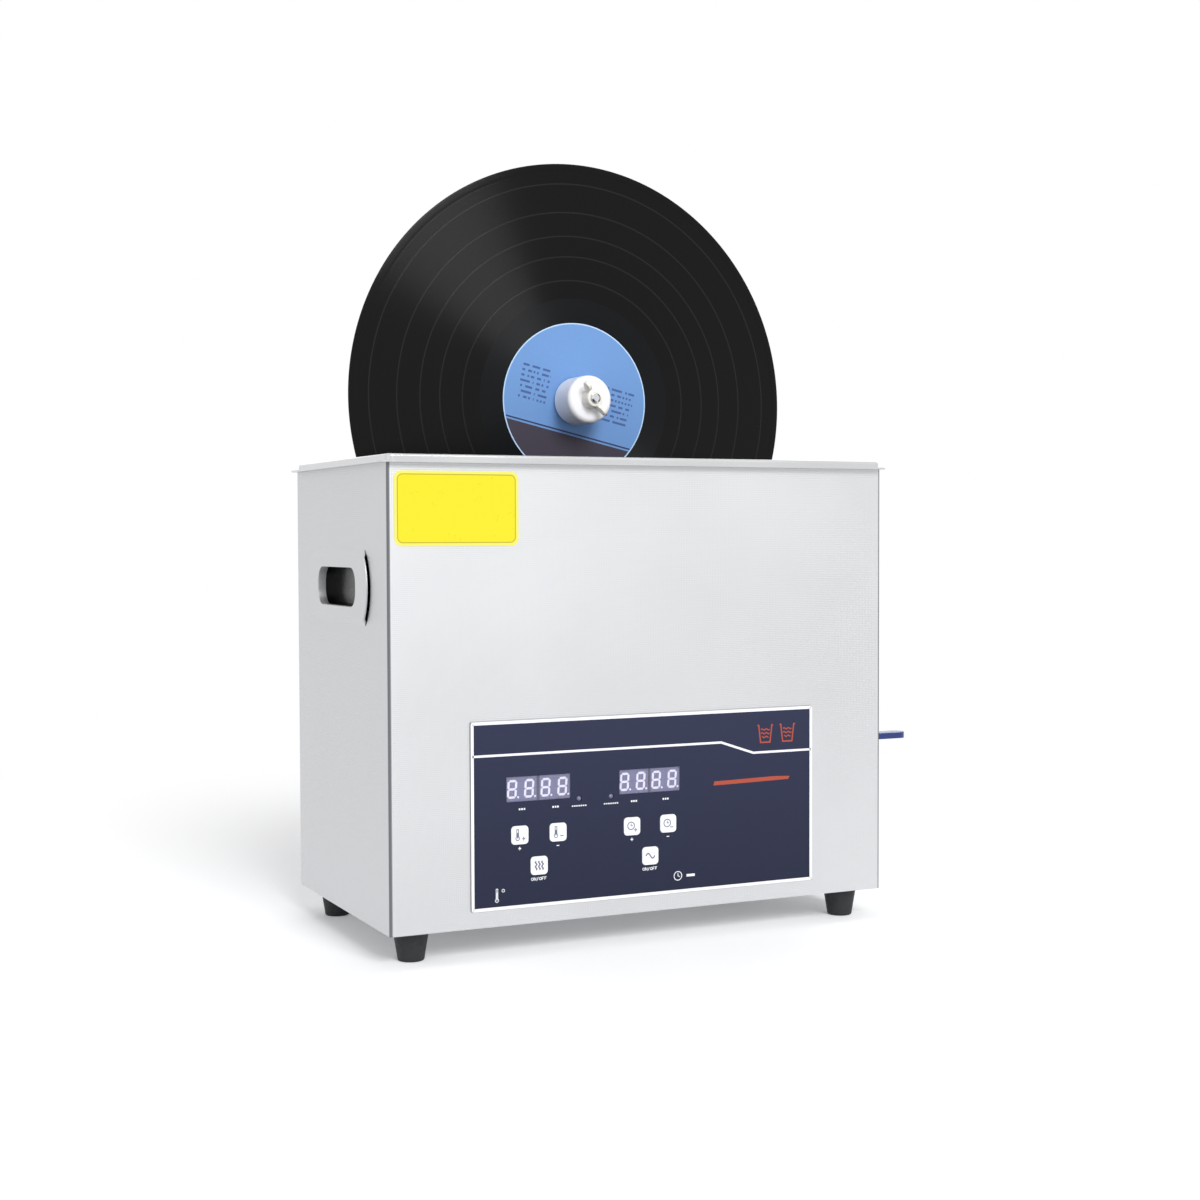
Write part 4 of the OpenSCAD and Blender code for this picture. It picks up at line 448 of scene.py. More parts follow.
def arc(x, z, radius, start_deg=0.0, end_deg=360.0, steps=24):
    """Points on an arc. A full circle leaves out the point that would come twice."""
    turn = end_deg - start_deg
    last = steps if abs(turn) >= 360 else steps + 1
    angles = [math.radians(start_deg + turn * i / steps) for i in range(last)]
    return [(x + radius * math.cos(a), z + radius * math.sin(a)) for a in angles]


def rounded(x, z, width, height, radius, steps=6):
    """The outline of a rounded rectangle."""
    line = []
    for i, (sx, sz) in enumerate(((1, 1), (-1, 1), (-1, -1), (1, -1))):
        line += arc(x + sx * (width / 2 - radius), z + sz * (height / 2 - radius), radius,
                    90 * i, 90 * i + 90, steps)
    return line


def coat(name, colour, roughness, scale, low, high, *nodes, **extra):
    """A material of one colour whose roughness wanders, worn by any CAD nodes that are named."""
    made, tree, shader = start(name, colour, roughness, **extra)
    blots(tree, shader, scale, low, high)
    dress(made, *nodes)
    return made


foil_low, foil_high = (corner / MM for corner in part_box("panel_overlay"))
FOIL_Y = foil_low.y
INK = (FOIL_Y - 0.03, FOIL_Y)
foil_x, foil_z = (foil_low.x + foil_high.x) / 2, (foil_low.z + foil_high.z) / 2
foil_w, foil_h = foil_high.x - foil_low.x, foil_high.z - foil_low.z
key_spots = {}
for name in ("key_temp_up", "key_temp_down", "key_heater", "key_time_up", "key_time_down", "key_sonic"):
    low, high = (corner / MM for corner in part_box(name))
    key_spots[name] = ((low.x + high.x) / 2, (low.z + high.z) / 2, low.y)

navy_foil, tree, shader = start("back_printed_polyester_foil", "#262a42", 0.42, IOR=1.57)
shader.inputs["Specular IOR Level"].default_value = 0.15
where = add(tree, "ShaderNodeTexCoord")
axes = add(tree, "ShaderNodeSeparateXYZ", {0: where.outputs["Object"]})
height = add(tree, "ShaderNodeMapRange",
             {"Value": axes.outputs[2], "From Min": foil_low.z * MM, "From Max": foil_high.z * MM})
add(tree, "ShaderNodeMix", {0: height.outputs[0], 6: linear("#22263b"), 7: linear("#2d3149")},
    data_type="RGBA", into=shader.inputs["Base Color"], out=2)
fleck = blots(tree, shader, 700.0, 0.36, 0.50)
add(tree, "ShaderNodeBump", {"Height": fleck, "Distance": 0.006 * MM}, into=shader.inputs["Normal"])
dress(navy_foil, "panel_overlay")

white_ink = coat("white_screen_ink", "#f1f2f6", 0.5, 900.0, 0.42, 0.6)
red_ink = coat("brick_red_screen_ink", "#a8452f", 0.5, 900.0, 0.42, 0.6)

BORDER_W, RULE_LEFT_Z, RULE_RIGHT_Z = 1.8, 116.2, 108.8
form = bmesh.new()
border = rounded(foil_x, foil_z, foil_w - BORDER_W, foil_h - BORDER_W, 0.3, 3)
stroke(form, border, BORDER_W, *INK, closed=True)
stroke(form, [(foil_low.x + 1, RULE_LEFT_Z), (47.6, RULE_LEFT_Z), (69.8, RULE_RIGHT_Z),
              (foil_high.x - 1, RULE_RIGHT_Z)], 1.35, *INK)
new_piece("printed_border_and_rule", form, white_ink, "cabinet")

form = bmesh.new()
CLOCK_X, CLOCK_Z, CLOCK_R = 17.9, 37.8, 2.6
stroke(form, arc(CLOCK_X, CLOCK_Z, CLOCK_R), 0.45, *INK, closed=True)
stroke(form, [(CLOCK_X, CLOCK_Z + 1.7), (CLOCK_X, CLOCK_Z), (CLOCK_X + 1.4, CLOCK_Z - 0.6)], 0.4, *INK)
stroke(form, [(CLOCK_X + 5.8, CLOCK_Z - 0.2), (CLOCK_X + 11.4, CLOCK_Z - 0.2)], 1.5, *INK)
BULB_X, BULB_Z, BULB_R = -98.7, 33.2, 1.0
glass = arc(BULB_X, BULB_Z, BULB_R, -240, 60, 18) + [(BULB_X + side, BULB_Z + 6.6) for side in (0.5, -0.5)]
stroke(form, glass, 0.35, *INK, closed=True)
stroke(form, [(BULB_X, BULB_Z), (BULB_X, BULB_Z + 4.6)], 0.45, *INK)
stroke(form, arc(BULB_X + 3.9, BULB_Z + 5.4, 0.8), 0.35, *INK, closed=True)
LAMP_BARS_Z, SIGN_BARS_Z, FAR_IN, NEAR_IN = 84.2, 84.6, 9.5, 30.5
window_low, window_high = (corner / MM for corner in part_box("display_windows"))
lamp_low, lamp_high = (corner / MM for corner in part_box("indicator_lamps"))
for lamp_x in (lamp_low.x + 1.9, lamp_high.x - 1.9):
    for k in range(-3, 4):
        bar_x = lamp_x + 1.4 * k
        stroke(form, [(bar_x - 0.45, LAMP_BARS_Z), (bar_x + 0.45, LAMP_BARS_Z)], 0.8, *INK)
for sign_x in (window_low.x + FAR_IN, window_low.x + NEAR_IN, window_high.x - NEAR_IN, window_high.x - FAR_IN):
    for k in range(-1, 2):
        bar_x = sign_x + 1.5 * k
        stroke(form, [(bar_x - 0.5, SIGN_BARS_Z), (bar_x + 0.5, SIGN_BARS_Z)], 1.1, *INK)
new_piece("printed_clock_and_thermometer", form, white_ink, "cabinet")

# Under each setting key stands a plus or minus sign, and under each switch key ON and OFF
form = bmesh.new()
GLYPH_H, GLYPH_W, GLYPH_PITCH = 1.7, 1.1, 1.65
SIGN_DROP, SWITCH_DROP = 7.8, 8.6
GLYPHS = {
    "O": [arc(GLYPH_W / 2, GLYPH_H / 2, 0.72, 0, 359.9, 14)],
    "N": [[(0, 0), (0, GLYPH_H), (GLYPH_W, 0), (GLYPH_W, GLYPH_H)]],
    "F": [[(0, 0), (0, GLYPH_H), (GLYPH_W, GLYPH_H)], [(0.15, 0.9), (0.85, 0.9)]],
    "/": [[(0.1, -0.1), (0.9, 1.8)]],
}
for name, (x, z, face) in key_spots.items():
    if name in ("key_heater", "key_sonic"):
        for k, glyph in enumerate("ON/OFF"):
            for line in GLYPHS[glyph]:
                stroke(form, [(x + (k - 3) * GLYPH_PITCH + 0.25 + p, z - SWITCH_DROP + q) for p, q in line],
                       0.36, *INK)
    else:
        stroke(form, [(x - 0.9, z - SIGN_DROP), (x + 0.9, z - SIGN_DROP)], 0.5, *INK)
        if name.endswith("up"):
            for half_z in (-0.65, 0.65):
                tick_z = z - SIGN_DROP + half_z
                stroke(form, [(x, tick_z - 0.35), (x, tick_z + 0.35)], 0.5, *INK)
new_piece("printed_key_signs", form, white_ink, "cabinet")

form = bmesh.new()
plate(form, [(42.2, 90.5), (70.0, 90.9), (94.6, 91.4), (95.6, 93.2), (84.0, 93.7), (60.0, 93.2), (42.8, 92.9)],
      *INK)
TUB_TOP_Z, TUB_FLOOR_Z = 125.2, 114.8
for tub_x in (78.3, 93.9):
    tub = [(tub_x - 5.5, TUB_TOP_Z), (tub_x - 4.6, TUB_TOP_Z), (tub_x - 3.3, TUB_FLOOR_Z),
           (tub_x + 3.3, TUB_FLOOR_Z), (tub_x + 4.6, TUB_TOP_Z), (tub_x + 5.5, TUB_TOP_Z)]
    stroke(form, tub, 0.9, *INK)
    for row in range(3):
        wave = [(tub_x - 3.0 + 0.75 * k, 122.6 - 2.3 * row + 0.45 * math.sin(k * math.pi / 2))
                for k in range(9)]
        stroke(form, wave[row // 2:9 - row // 2], 0.7, *INK)
new_piece("printed_tub_marks", form, red_ink, "cabinet")

# Displays.
# Two clear windows in the foil, each over two cast-resin modules. A module shows two unlit digits of
# seven bars and a point each, which are pale diffusing resin in a grey-blue face.
coat("clear_polyester_window", "#c9c7e2", 0.12, 500.0, 0.08, 0.16, "display_windows", IOR=1.57, Alpha=0.12)
coat("grey_blue_display_resin", "#5c5f84", 0.45, 300.0, 0.38, 0.52, "digit_modules")
bar_resin = coat("pale_diffusing_resin", "#f2f0fc", 0.35, 600.0, 0.30, 0.42)

DIGIT_W, DIGIT_H, BAR, SLANT, POINT_R = 4.7, 9.4, 1.35, 0.07, 0.65
DIGIT_PLACES = (-15.75, -5.15, 5.15, 15.75)
module_low, module_high = (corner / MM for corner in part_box("digit_modules"))
DIGIT = (module_low.y - 0.035, module_low.y + 0.02)
digit_z = (module_low.z + module_high.z) / 2
form = bmesh.new()
for window_x in (window_low.x + 20.0, window_high.x - 20.0):
    for place in DIGIT_PLACES:
        digit_x = window_x + place - 0.5
        bars = [(0, k * DIGIT_H / 2, 0) for k in (-1, 0, 1)]
        bars += [(sx * DIGIT_W / 2, sz * DIGIT_H / 4, 1) for sx in (-1, 1) for sz in (-1, 1)]
        for bx, bz, standing in bars:
            half = (DIGIT_H / 4 if standing else DIGIT_W / 2) - 0.12
            tip = half - BAR / 2
            outline = [(-half, 0), (-tip, BAR / 2), (tip, BAR / 2), (half, 0), (tip, -BAR / 2),
                       (-tip, -BAR / 2)]
            if standing:
                outline = [(q, p) for p, q in outline]
            plate(form, [(digit_x + bx + p + SLANT * (bz + q), digit_z + bz + q) for p, q in outline], *DIGIT)
        plate(form, arc(digit_x + DIGIT_W / 2 + 1.35, digit_z - DIGIT_H / 2, POINT_R, steps=10), *DIGIT)
new_piece("display_digits", form, bar_resin, "cabinet")

coat("clear_lamp_resin", "#6f7390", 0.15, 400.0, 0.10, 0.22, "indicator_lamps", IOR=1.5)

# Keys.
# Six white moulded caps in the foil's openings, each with a pictogram in grey ink on its face: a
# thermometer or a clock with a plus or minus sign, rising heat, and a wave.
key_abs, tree, shader = start("white_moulded_abs", "#f3f4f8", 0.38, IOR=1.53)
grain = blots(tree, shader, 1200.0, 0.32, 0.46)
add(tree, "ShaderNodeBump", {"Height": grain, "Distance": 0.01 * MM}, into=shader.inputs["Normal"])
dress(key_abs, *key_spots)
grey_ink = coat("grey_pad_printed_ink", "#6d7082", 0.5, 900.0, 0.42, 0.6)
for name, (x, z, face) in key_spots.items():
    ink = (face - 0.025, face)
    form = bmesh.new()
    if "temp" in name:
        bulb = arc(x - 1.4, z - 1.9, 1.15, -240, 60, 16)
        stroke(form, bulb + [(x - 0.85, z + 3.3), (x - 1.95, z + 3.3)], 0.5, *ink, closed=True)
        stroke(form, [(x - 1.4, z - 1.9), (x - 1.4, z + 1.4)], 0.75, *ink)
    elif "time" in name:
        stroke(form, arc(x - 0.7, z + 0.3, 2.2), 0.6, *ink, closed=True)
        stroke(form, [(x - 0.7, z + 1.7), (x - 0.7, z + 0.3), (x + 0.5, z + 0.3)], 0.5, *ink)
    elif name == "key_heater":
        for k in range(3):
            rise = [(x - 2.0 + 2.0 * k + 0.5 * math.sin(s * math.pi / 2), z - 2.6 + 0.65 * s)
                    for s in range(9)]
            stroke(form, rise, 0.85, *ink)
    else:
        swing = [(x - 3.0 + 0.375 * s, z + 1.5 * math.sin(s * math.pi / 8)) for s in range(17)]
        stroke(form, swing, 0.8, *ink)
    if name.endswith(("up", "down")):
        stroke(form, [(x + 1.3, z - 2.2), (x + 3.3, z - 2.2)], 0.6, *ink)
    if name.endswith("up"):
        for half_z in (-0.75, 0.75):
            stroke(form, [(x + 2.3, z - 2.2 + half_z - 0.35), (x + 2.3, z - 2.2 + half_z + 0.35)], 0.6, *ink)
    new_piece(name.replace("key_", "pictogram_"), form, grey_ink, name)

# Yellow sticker.
# Calendered vinyl on the casing's front, left blank, with a pale cut edge and an ochre line round it.
sticker_rim = coat("pale_yellow_vinyl_edge", "#e6e165", 0.35, 300.0, 0.3, 0.42)
sticker_face = coat("bright_yellow_vinyl", "#e6d912", 0.3, 200.0, 0.26, 0.38)
sticker_line = coat("ochre_screen_ink", "#b3a116", 0.45, 900.0, 0.4, 0.55)
STICKER_X, STICKER_Z, STICKER_W, STICKER_H = -121.2, 256.5, 74.5, 42.0
PRINT_W, PRINT_H, PRINT_CORNER = 70.6, 38.1, 3.0
form = bmesh.new()
plate(form, rounded(STICKER_X, STICKER_Z, STICKER_W, STICKER_H, 4.2), FRONT_Y - 0.10, FRONT_Y)
new_piece("sticker_base", form, sticker_rim, "cabinet")
form = bmesh.new()
print_edge = rounded(STICKER_X, STICKER_Z, PRINT_W, PRINT_H, PRINT_CORNER)
plate(form, print_edge, FRONT_Y - 0.12, FRONT_Y - 0.10)
new_piece("sticker_print", form, sticker_face, "cabinet")
form = bmesh.new()
stroke(form, print_edge, 0.55, FRONT_Y - 0.13, FRONT_Y - 0.10, closed=True)
new_piece("sticker_outline", form, sticker_line, "cabinet")

# Electronics and transducers.
# Glass-epoxy boards, an aluminium heat sink, silicone heating pads, and three bolted transducers of
# aluminium, ceramic and steel, bonded to the tank's floor.
board_epoxy, tree, shader = start("green_glass_epoxy", "#1d5b34", 0.35, IOR=1.55)
where = add(tree, "ShaderNodeTexCoord")
add(tree, "ShaderNodeTexBrick",
    {"Vector": where.outputs["Object"], "Scale": 90.0, "Mortar Size": 0.03, "Color1": linear("#1d5b34"),
     "Color2": linear("#1a5230"), "Mortar": linear("#3f8a55")}, into=shader.inputs["Base Color"])
blots(tree, shader, 200.0, 0.28, 0.42)
dress(board_epoxy, "control_board", "generator_board")

machined_aluminium, tree, shader = start("machined_aluminium", "#c6c8cb", 0.34, metallic=1.0)
where = add(tree, "ShaderNodeTexCoord")
lathe = add(tree, "ShaderNodeMapping", {"Vector": where.outputs["Object"], "Scale": (1, 1, 14)})
tool_marks = add(tree, "ShaderNodeTexNoise", {"Vector": lathe.outputs[0], "Scale": 160.0})
add(tree, "ShaderNodeBump", {"Height": tool_marks.outputs[0], "Distance": 0.02 * MM},
    into=shader.inputs["Normal"])
blots(tree, shader, 40.0, 0.28, 0.40)
dress(machined_aluminium, "heat_sink", "transducer_horns", "shaft_coupling", "rod_base")

coat("silvered_piezo_ceramic", "#b3aa98", 0.55, 250.0, 0.45, 0.65, "piezo_rings")
coat("turned_blued_steel", "#6d7076", 0.38, 120.0, 0.30, 0.46, "transducer_backs", metallic=1.0)
coat("moulded_silicone_rubber", "#a4502b", 0.6, 150.0, 0.52, 0.7, "heater_pads")

# Feet, gasket and hose.
# Tapered rubber mouldings, each held by a screw in a recess from below. Matt black, and greyer on the
# collar that touches the casing.
foot_rubber, tree, shader = start("moulded_natural_rubber", "#1d1d1f", 0.62)
where = add(tree, "ShaderNodeTexCoord")
axes = add(tree, "ShaderNodeSeparateXYZ", {0: where.outputs["Object"]})
collar = add(tree, "ShaderNodeMapRange",
             {"Value": axes.outputs[2], "From Min": 15.5 * MM, "From Max": 16.0 * MM})
add(tree, "ShaderNodeMix", {0: collar.outputs[0], 6: linear("#1c1d20"), 7: linear("#3d3d40")},
    data_type="RGBA", into=shader.inputs["Base Color"], out=2)
pores = blots(tree, shader, 500.0, 0.55, 0.72)
add(tree, "ShaderNodeBump", {"Height": pores, "Distance": 0.03 * MM}, into=shader.inputs["Normal"])
dress(foot_rubber, "feet")
coat("extruded_rubber_hose", "#1d1d1f", 0.55, 200.0, 0.48, 0.64, "drain_hose", "front_gasket")

# Drain.
# A polished stainless fitting in the tank's floor, and a nickel-plated brass ball valve with plastic
# seats. Its steel lever has a sleeve of dark blue dipped vinyl.
polished_steel = coat("polished_stainless_steel", "#d6d7d9", 0.12, 60.0, 0.08, 0.18, "drain_fitting",
                      "valve_ball", "valve_stem", "guide_rods", "spindle", metallic=1.0)
coat("nickel_plated_brass", "#c3c1ba", 0.24, 50.0, 0.18, 0.32, "valve_body", "valve_outlet", metallic=1.0)
coat("turned_white_ptfe", "#ececec", 0.42, 200.0, 0.36, 0.5, "valve_seats")
dipped_vinyl, tree, shader = start("dipped_blue_vinyl", "#1b2f70", 0.30)
drips = blots(tree, shader, 90.0, 0.24, 0.38)
add(tree, "ShaderNodeBump", {"Height": drips, "Distance": 0.1 * MM}, into=shader.inputs["Normal"])
dress(dipped_vinyl, "lever_sleeve")

# Mains inlet and fan.
# A moulded inlet with rocker and fuse drawer, tinned contacts, and a fan behind its guard. The
# mouldings are black plastic with a fine spark-eroded texture.
textured_black, tree, shader = start("spark_textured_black_plastic", "#1a1a1b", 0.5, IOR=1.53)
where = add(tree, "ShaderNodeTexCoord")
eroded = add(tree, "ShaderNodeTexNoise", {"Vector": where.outputs["Object"], "Scale": 1500.0})
add(tree, "ShaderNodeBump", {"Height": eroded.outputs[0], "Distance": 0.02 * MM}, into=shader.inputs["Normal"])
blots(tree, shader, 120.0, 0.44, 0.58)
dress(textured_black, "power_inlet", "fuse_drawer", "fan_frame", "fan_rotor", "rod_caps", "lock_knob",
      "clamp_screw_left", "clamp_screw_right", "carriage_housing", "housing_cover")
coat("tinned_brass", "#c9c4ae", 0.3, 80.0, 0.24, 0.38, "inlet_blades", metallic=1.0)

# Record drive.
# A bent stainless bracket over the rear rim carries two ground rods. The carriage slides on them in
# sintered bronze bushes and holds the gear motor that turns the spindle.
ground_steel, tree, shader = start("belt_ground_stainless_steel", "#c4c6c8", 0.32, metallic=1.0)
where = add(tree, "ShaderNodeTexCoord")
belt = add(tree, "ShaderNodeMapping", {"Vector": where.outputs["Object"], "Scale": (1, 1, 0.02)})
lines = add(tree, "ShaderNodeTexNoise", {"Vector": belt.outputs[0], "Scale": 2400.0})
add(tree, "ShaderNodeBump", {"Height": lines.outputs[0], "Distance": 0.015 * MM}, into=shader.inputs["Normal"])
blots(tree, shader, 20.0, 0.26, 0.38)
dress(ground_steel, "hook_bracket")
coat("sintered_bronze", "#b98a4e", 0.4, 600.0, 0.34, 0.5, "carriage_bushes", metallic=1.0)
coat("plated_motor_can", "#b4b5b8", 0.28, 40.0, 0.22, 0.34, "gear_motor", metallic=1.0)

# Threads.
# Rolled threads on the spindle's end, on the clamp and lock screws and on the drain fitting. A ridge of
# the thread's own pitch winds along each plain shank of the CAD.
tree, size, done = new_geometry("rolled_thread", radius=3 * MM, length=10 * MM, pitch=1 * MM, depth=0.3 * MM)
turns = add(tree, "ShaderNodeMath", {0: size["length"], 1: size["pitch"]}, operation="DIVIDE")
helix = add(tree, "GeometryNodeCurveSpiral",
            {"Resolution": 32, "Rotations": turns.outputs[0], "Start Radius": size["radius"],
             "End Radius": size["radius"], "Height": size["length"]})
steady = add(tree, "GeometryNodeSetCurveNormal", {0: helix.outputs[0]}, mode="Z_UP")
ridge = add(tree, "GeometryNodeCurvePrimitiveCircle", {"Resolution": 4, "Radius": size["depth"]})
wound = add(tree, "GeometryNodeCurveToMesh", {0: steady.outputs[0], 1: ridge.outputs[0], "Fill Caps": True})
real = add(tree, "GeometryNodeRealizeInstances", {0: wound.outputs[0]})
add(tree, "GeometryNodeSetMaterial", {0: real.outputs[0], "Material": polished_steel}, into=done)
CLAMP_LEFT, CLAMP_RIGHT, DRAIN_SEAT = (-34, 89.2, 225), (34, 89.2, 225), (118, 45, 123.2)
SPINDLE_Z = sum(corner.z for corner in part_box("record")) / 2 / MM
ROD_Y, LOCK_Z = (sum(corner[k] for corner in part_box("lock_knob")) / 2 / MM for k in (1, 2))
for name, body, slot, foot, towards, radius, length, pitch in (
    ("spindle_thread", "spindle_set", "polished_steel", (0, -14.4, SPINDLE_Z), (0, 1, 0), 3.0, 18.0, 1.0),
    ("lock_screw_thread", "lock_knob", "housing_plastic", (44.0, ROD_Y, LOCK_Z), (1, 0, 0), 3.0, 8.0, 1.0),
    ("clamp_thread_left", "clamp_left", "screw_steel", CLAMP_LEFT, (0, 1, 0), 3.0, 16.0, 1.0),
    ("clamp_thread_right", "clamp_right", "screw_steel", CLAMP_RIGHT, (0, 1, 0), 3.0, 16.0, 1.0),
    ("drain_thread", "cabinet", "polished_steel", DRAIN_SEAT, (0, 0, 1), 8.0, 12.0, 1.5),
):
    turned = Vector(towards).to_track_quat("Z", "Y").to_matrix().to_4x4()
    stand = Matrix.Translation(Vector(foot) * MM) @ turned
    grow(name, tree, bpy.data.meshes.new(name + "_seed"), body, slot, stand, radius=radius * MM,
         length=length * MM, pitch=pitch * MM, depth=0.25 * pitch * MM)

# Record.
# Pressed black vinyl, turned here from the profile of one half. The grooves are far finer than a picture
# shows, so they act as a brushed gloss that runs round the centre, broken by the gaps between tracks,
# whose thin lighter lines are a painted highlight.
record_low, record_high = (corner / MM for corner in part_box("record"))
RECORD_Y, RECORD_R = (record_low.y + record_high.y) / 2, (record_high.z - record_low.z) / 2
HALF, THIN, GROOVES_R = (record_high.y - record_low.y) / 2, 0.75, 65.5
GAPS = (77.0, 92.0, 105.0, 120.0, 138.0)
MIDDLE_R = 75.0
face = [(3.62, HALF), (58.5, HALF), (61.5, THIN + 0.02), (65.3, THIN + 0.02), (GROOVES_R, THIN)]
for gap in GAPS:
    face += [(gap - 0.6, THIN), (gap - 0.4, THIN - 0.05), (gap + 0.4, THIN - 0.05), (gap + 0.6, THIN)]
face += [(144.9, THIN), (145.4, THIN - 0.05), (146.2, THIN + 0.05), (147.0, HALF - 0.05), (148.3, HALF),
         (149.8, HALF - 0.06), (150.45, HALF - 0.35), (RECORD_R, HALF - 0.75)]
section = face + [(r, -y) for r, y in reversed(face)]
section_line = bpy.data.meshes.new("record_section")
section_line.from_pydata([((r - MIDDLE_R) * MM, y * MM, 0) for r, y in section],
                         [(i, (i + 1) % len(section)) for i in range(len(section))], [])
disc_tree, size, done = new_geometry("turned_disc", middle_radius=MIDDLE_R * MM, facets=256.0)
facets = add(disc_tree, "FunctionNodeFloatToInt", {0: size["facets"]})
path = add(disc_tree, "GeometryNodeCurvePrimitiveCircle",
           {"Resolution": facets.outputs[0], "Radius": size["middle_radius"]})
steady = add(disc_tree, "GeometryNodeSetCurveNormal", {0: path.outputs[0]}, mode="Z_UP")
profile = add(disc_tree, "GeometryNodeMeshToCurve", {0: size[0]})
swept = add(disc_tree, "GeometryNodeCurveToMesh", {0: steady.outputs[0], 1: profile.outputs[0]})
vinyl, tree, shader = start("pressed_black_vinyl", "#040405", 0.42, IOR=1.54, Anisotropic=1.0)
shader.inputs["Anisotropic Rotation"].default_value = 0.25
shader.inputs["Specular IOR Level"].default_value = 0.15
where = add(tree, "ShaderNodeTexCoord")
centred = add(tree, "ShaderNodeMapping",
              {"Vector": where.outputs["Object"], "Location": (0, 0, -SPINDLE_Z * MM)})
flat = add(tree, "ShaderNodeVectorMath", {0: centred.outputs[0], 1: (1, 0, 1)}, operation="MULTIPLY")
radius = add(tree, "ShaderNodeVectorMath", {0: flat.outputs[0]}, operation="LENGTH")
grooved = add(tree, "ShaderNodeMath", {0: radius.outputs["Value"], 1: GROOVES_R * MM},
              operation="GREATER_THAN")
rings = add(tree, "ShaderNodeTexNoise", {"W": radius.outputs["Value"], "Scale": 700.0, "Detail": 4.0},
            noise_dimensions="1D")
ring_height = add(tree, "ShaderNodeMath", {0: rings.outputs[0], 1: grooved.outputs[0]}, operation="MULTIPLY")
add(tree, "ShaderNodeBump", {"Height": ring_height.outputs[0], "Distance": 0.03 * MM},
    into=shader.inputs["Normal"])
add(tree, "ShaderNodeMapRange", {"Value": grooved.outputs[0], "To Min": 0.5, "To Max": 0.31},
    into=shader.inputs["Roughness"])
add(tree, "ShaderNodeTangent", direction_type="RADIAL", axis="Y", into=shader.inputs["Tangent"])
# Painted sheen: the smooth band round the label is painted a lighter black than the grooved part.
colour = add(tree, "ShaderNodeMix", {0: grooved.outputs[0], 6: linear("#121315"), 7: linear("#040405")},
             data_type="RGBA").outputs[2]
# Painted highlight: a thin lighter ring is painted at each gap between tracks.
for gap in GAPS:
    line = add(tree, "ShaderNodeMath", {0: radius.outputs["Value"], 1: gap * MM, 2: 0.42 * MM},
               operation="COMPARE")
    colour = add(tree, "ShaderNodeMix", {0: line.outputs[0], 6: colour, 7: linear("#1c1d1f")},
                 data_type="RGBA").outputs[2]
tree.links.new(colour, shader.inputs["Base Color"])
real = add(disc_tree, "GeometryNodeRealizeInstances", {0: swept.outputs[0]})
smooth = add(disc_tree, "GeometryNodeSetShadeSmooth", {0: real.outputs[0], "Shade Smooth": True})
add(disc_tree, "GeometryNodeSetMaterial", {0: smooth.outputs[0], "Material": vinyl}, into=done)
upright_disc = Matrix.Translation(Vector((0, RECORD_Y, SPINDLE_Z)) * MM) @ Matrix.Rotation(math.pi / 2, 4, "X")
record = grow("record_disc", disc_tree, section_line, "spindle_set", "record_vinyl", upright_disc)
record.data.set_sharp_from_angle(angle=math.radians(5))
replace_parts(record, "record")

# Record label.
# Light blue paper, pressed in with the vinyl. Its print is a plain design: an aubergine foot below a
# navy rule, short dark bars in rows, and a pale line round the edge.
ROW_PITCH, PRINT_TURN, FOOT_Z, LABEL_EDGE_R = 3.4, -13, -22, 49.2
label_paper, tree, shader = start("pressed_blue_label_paper", "#7fb0ee", 0.55)
where = add(tree, "ShaderNodeTexCoord")
centred = add(tree, "ShaderNodeMapping",
              {"Vector": where.outputs["Object"], "Location": (0, 0, -SPINDLE_Z * MM)})
spun = add(tree, "ShaderNodeVectorRotate", {"Vector": centred.outputs[0], "Axis": (0, 1, 0),
                                            "Angle": math.radians(PRINT_TURN)}, rotation_type="AXIS_ANGLE")
parts = add(tree, "ShaderNodeSeparateXYZ", {0: spun.outputs[0]})
flat = add(tree, "ShaderNodeVectorMath", {0: centred.outputs[0], 1: (1, 0, 1)}, operation="MULTIPLY")
radius = add(tree, "ShaderNodeVectorMath", {0: flat.outputs[0]}, operation="LENGTH")
rows = add(tree, "ShaderNodeMath", {0: parts.outputs[2], 1: 1 / (ROW_PITCH * MM)}, operation="MULTIPLY")
row_at = add(tree, "ShaderNodeMath", {0: rows.outputs[0]}, operation="FRACT")
in_row = add(tree, "ShaderNodeMath", {0: row_at.outputs[0], 1: 0.42}, operation="LESS_THAN")
row_number = add(tree, "ShaderNodeMath", {0: rows.outputs[0]}, operation="FLOOR")
letters_at = add(tree, "ShaderNodeCombineXYZ", {"X": parts.outputs[0], "Y": row_number.outputs[0]})
letters = add(tree, "ShaderNodeTexNoise", {"Vector": letters_at.outputs[0], "Scale": 420.0, "Detail": 0.0})
inked = add(tree, "ShaderNodeMath", {0: letters.outputs[0], 1: 0.49}, operation="GREATER_THAN")
printed = add(tree, "ShaderNodeMath", {0: inked.outputs[0], 1: in_row.outputs[0]},
              operation="MULTIPLY").outputs[0]
away = add(tree, "ShaderNodeMath", {0: parts.outputs[0]}, operation="ABSOLUTE")
for socket, centre, reach_of in ((away.outputs[0], 30, 10), (parts.outputs[2], 5, 12)):
    inside = add(tree, "ShaderNodeMath", {0: socket, 1: centre * MM, 2: reach_of * MM}, operation="COMPARE")
    printed = add(tree, "ShaderNodeMath", {0: printed, 1: inside.outputs[0]}, operation="MULTIPLY").outputs[0]
below = add(tree, "ShaderNodeMath", {0: parts.outputs[2], 1: FOOT_Z * MM}, operation="LESS_THAN")
rule = add(tree, "ShaderNodeMath", {0: parts.outputs[2], 1: -20.4 * MM, 2: 0.5 * MM}, operation="COMPARE")
edge = add(tree, "ShaderNodeMath", {0: radius.outputs["Value"], 1: LABEL_EDGE_R * MM},
           operation="GREATER_THAN")
fibres = add(tree, "ShaderNodeTexNoise", {"Vector": where.outputs["Object"], "Scale": 900.0, "Detail": 3.0})
colour = add(tree, "ShaderNodeMix", {0: fibres.outputs[0], 6: linear("#6591ca"), 7: linear("#6d9ad4")},
             data_type="RGBA").outputs[2]
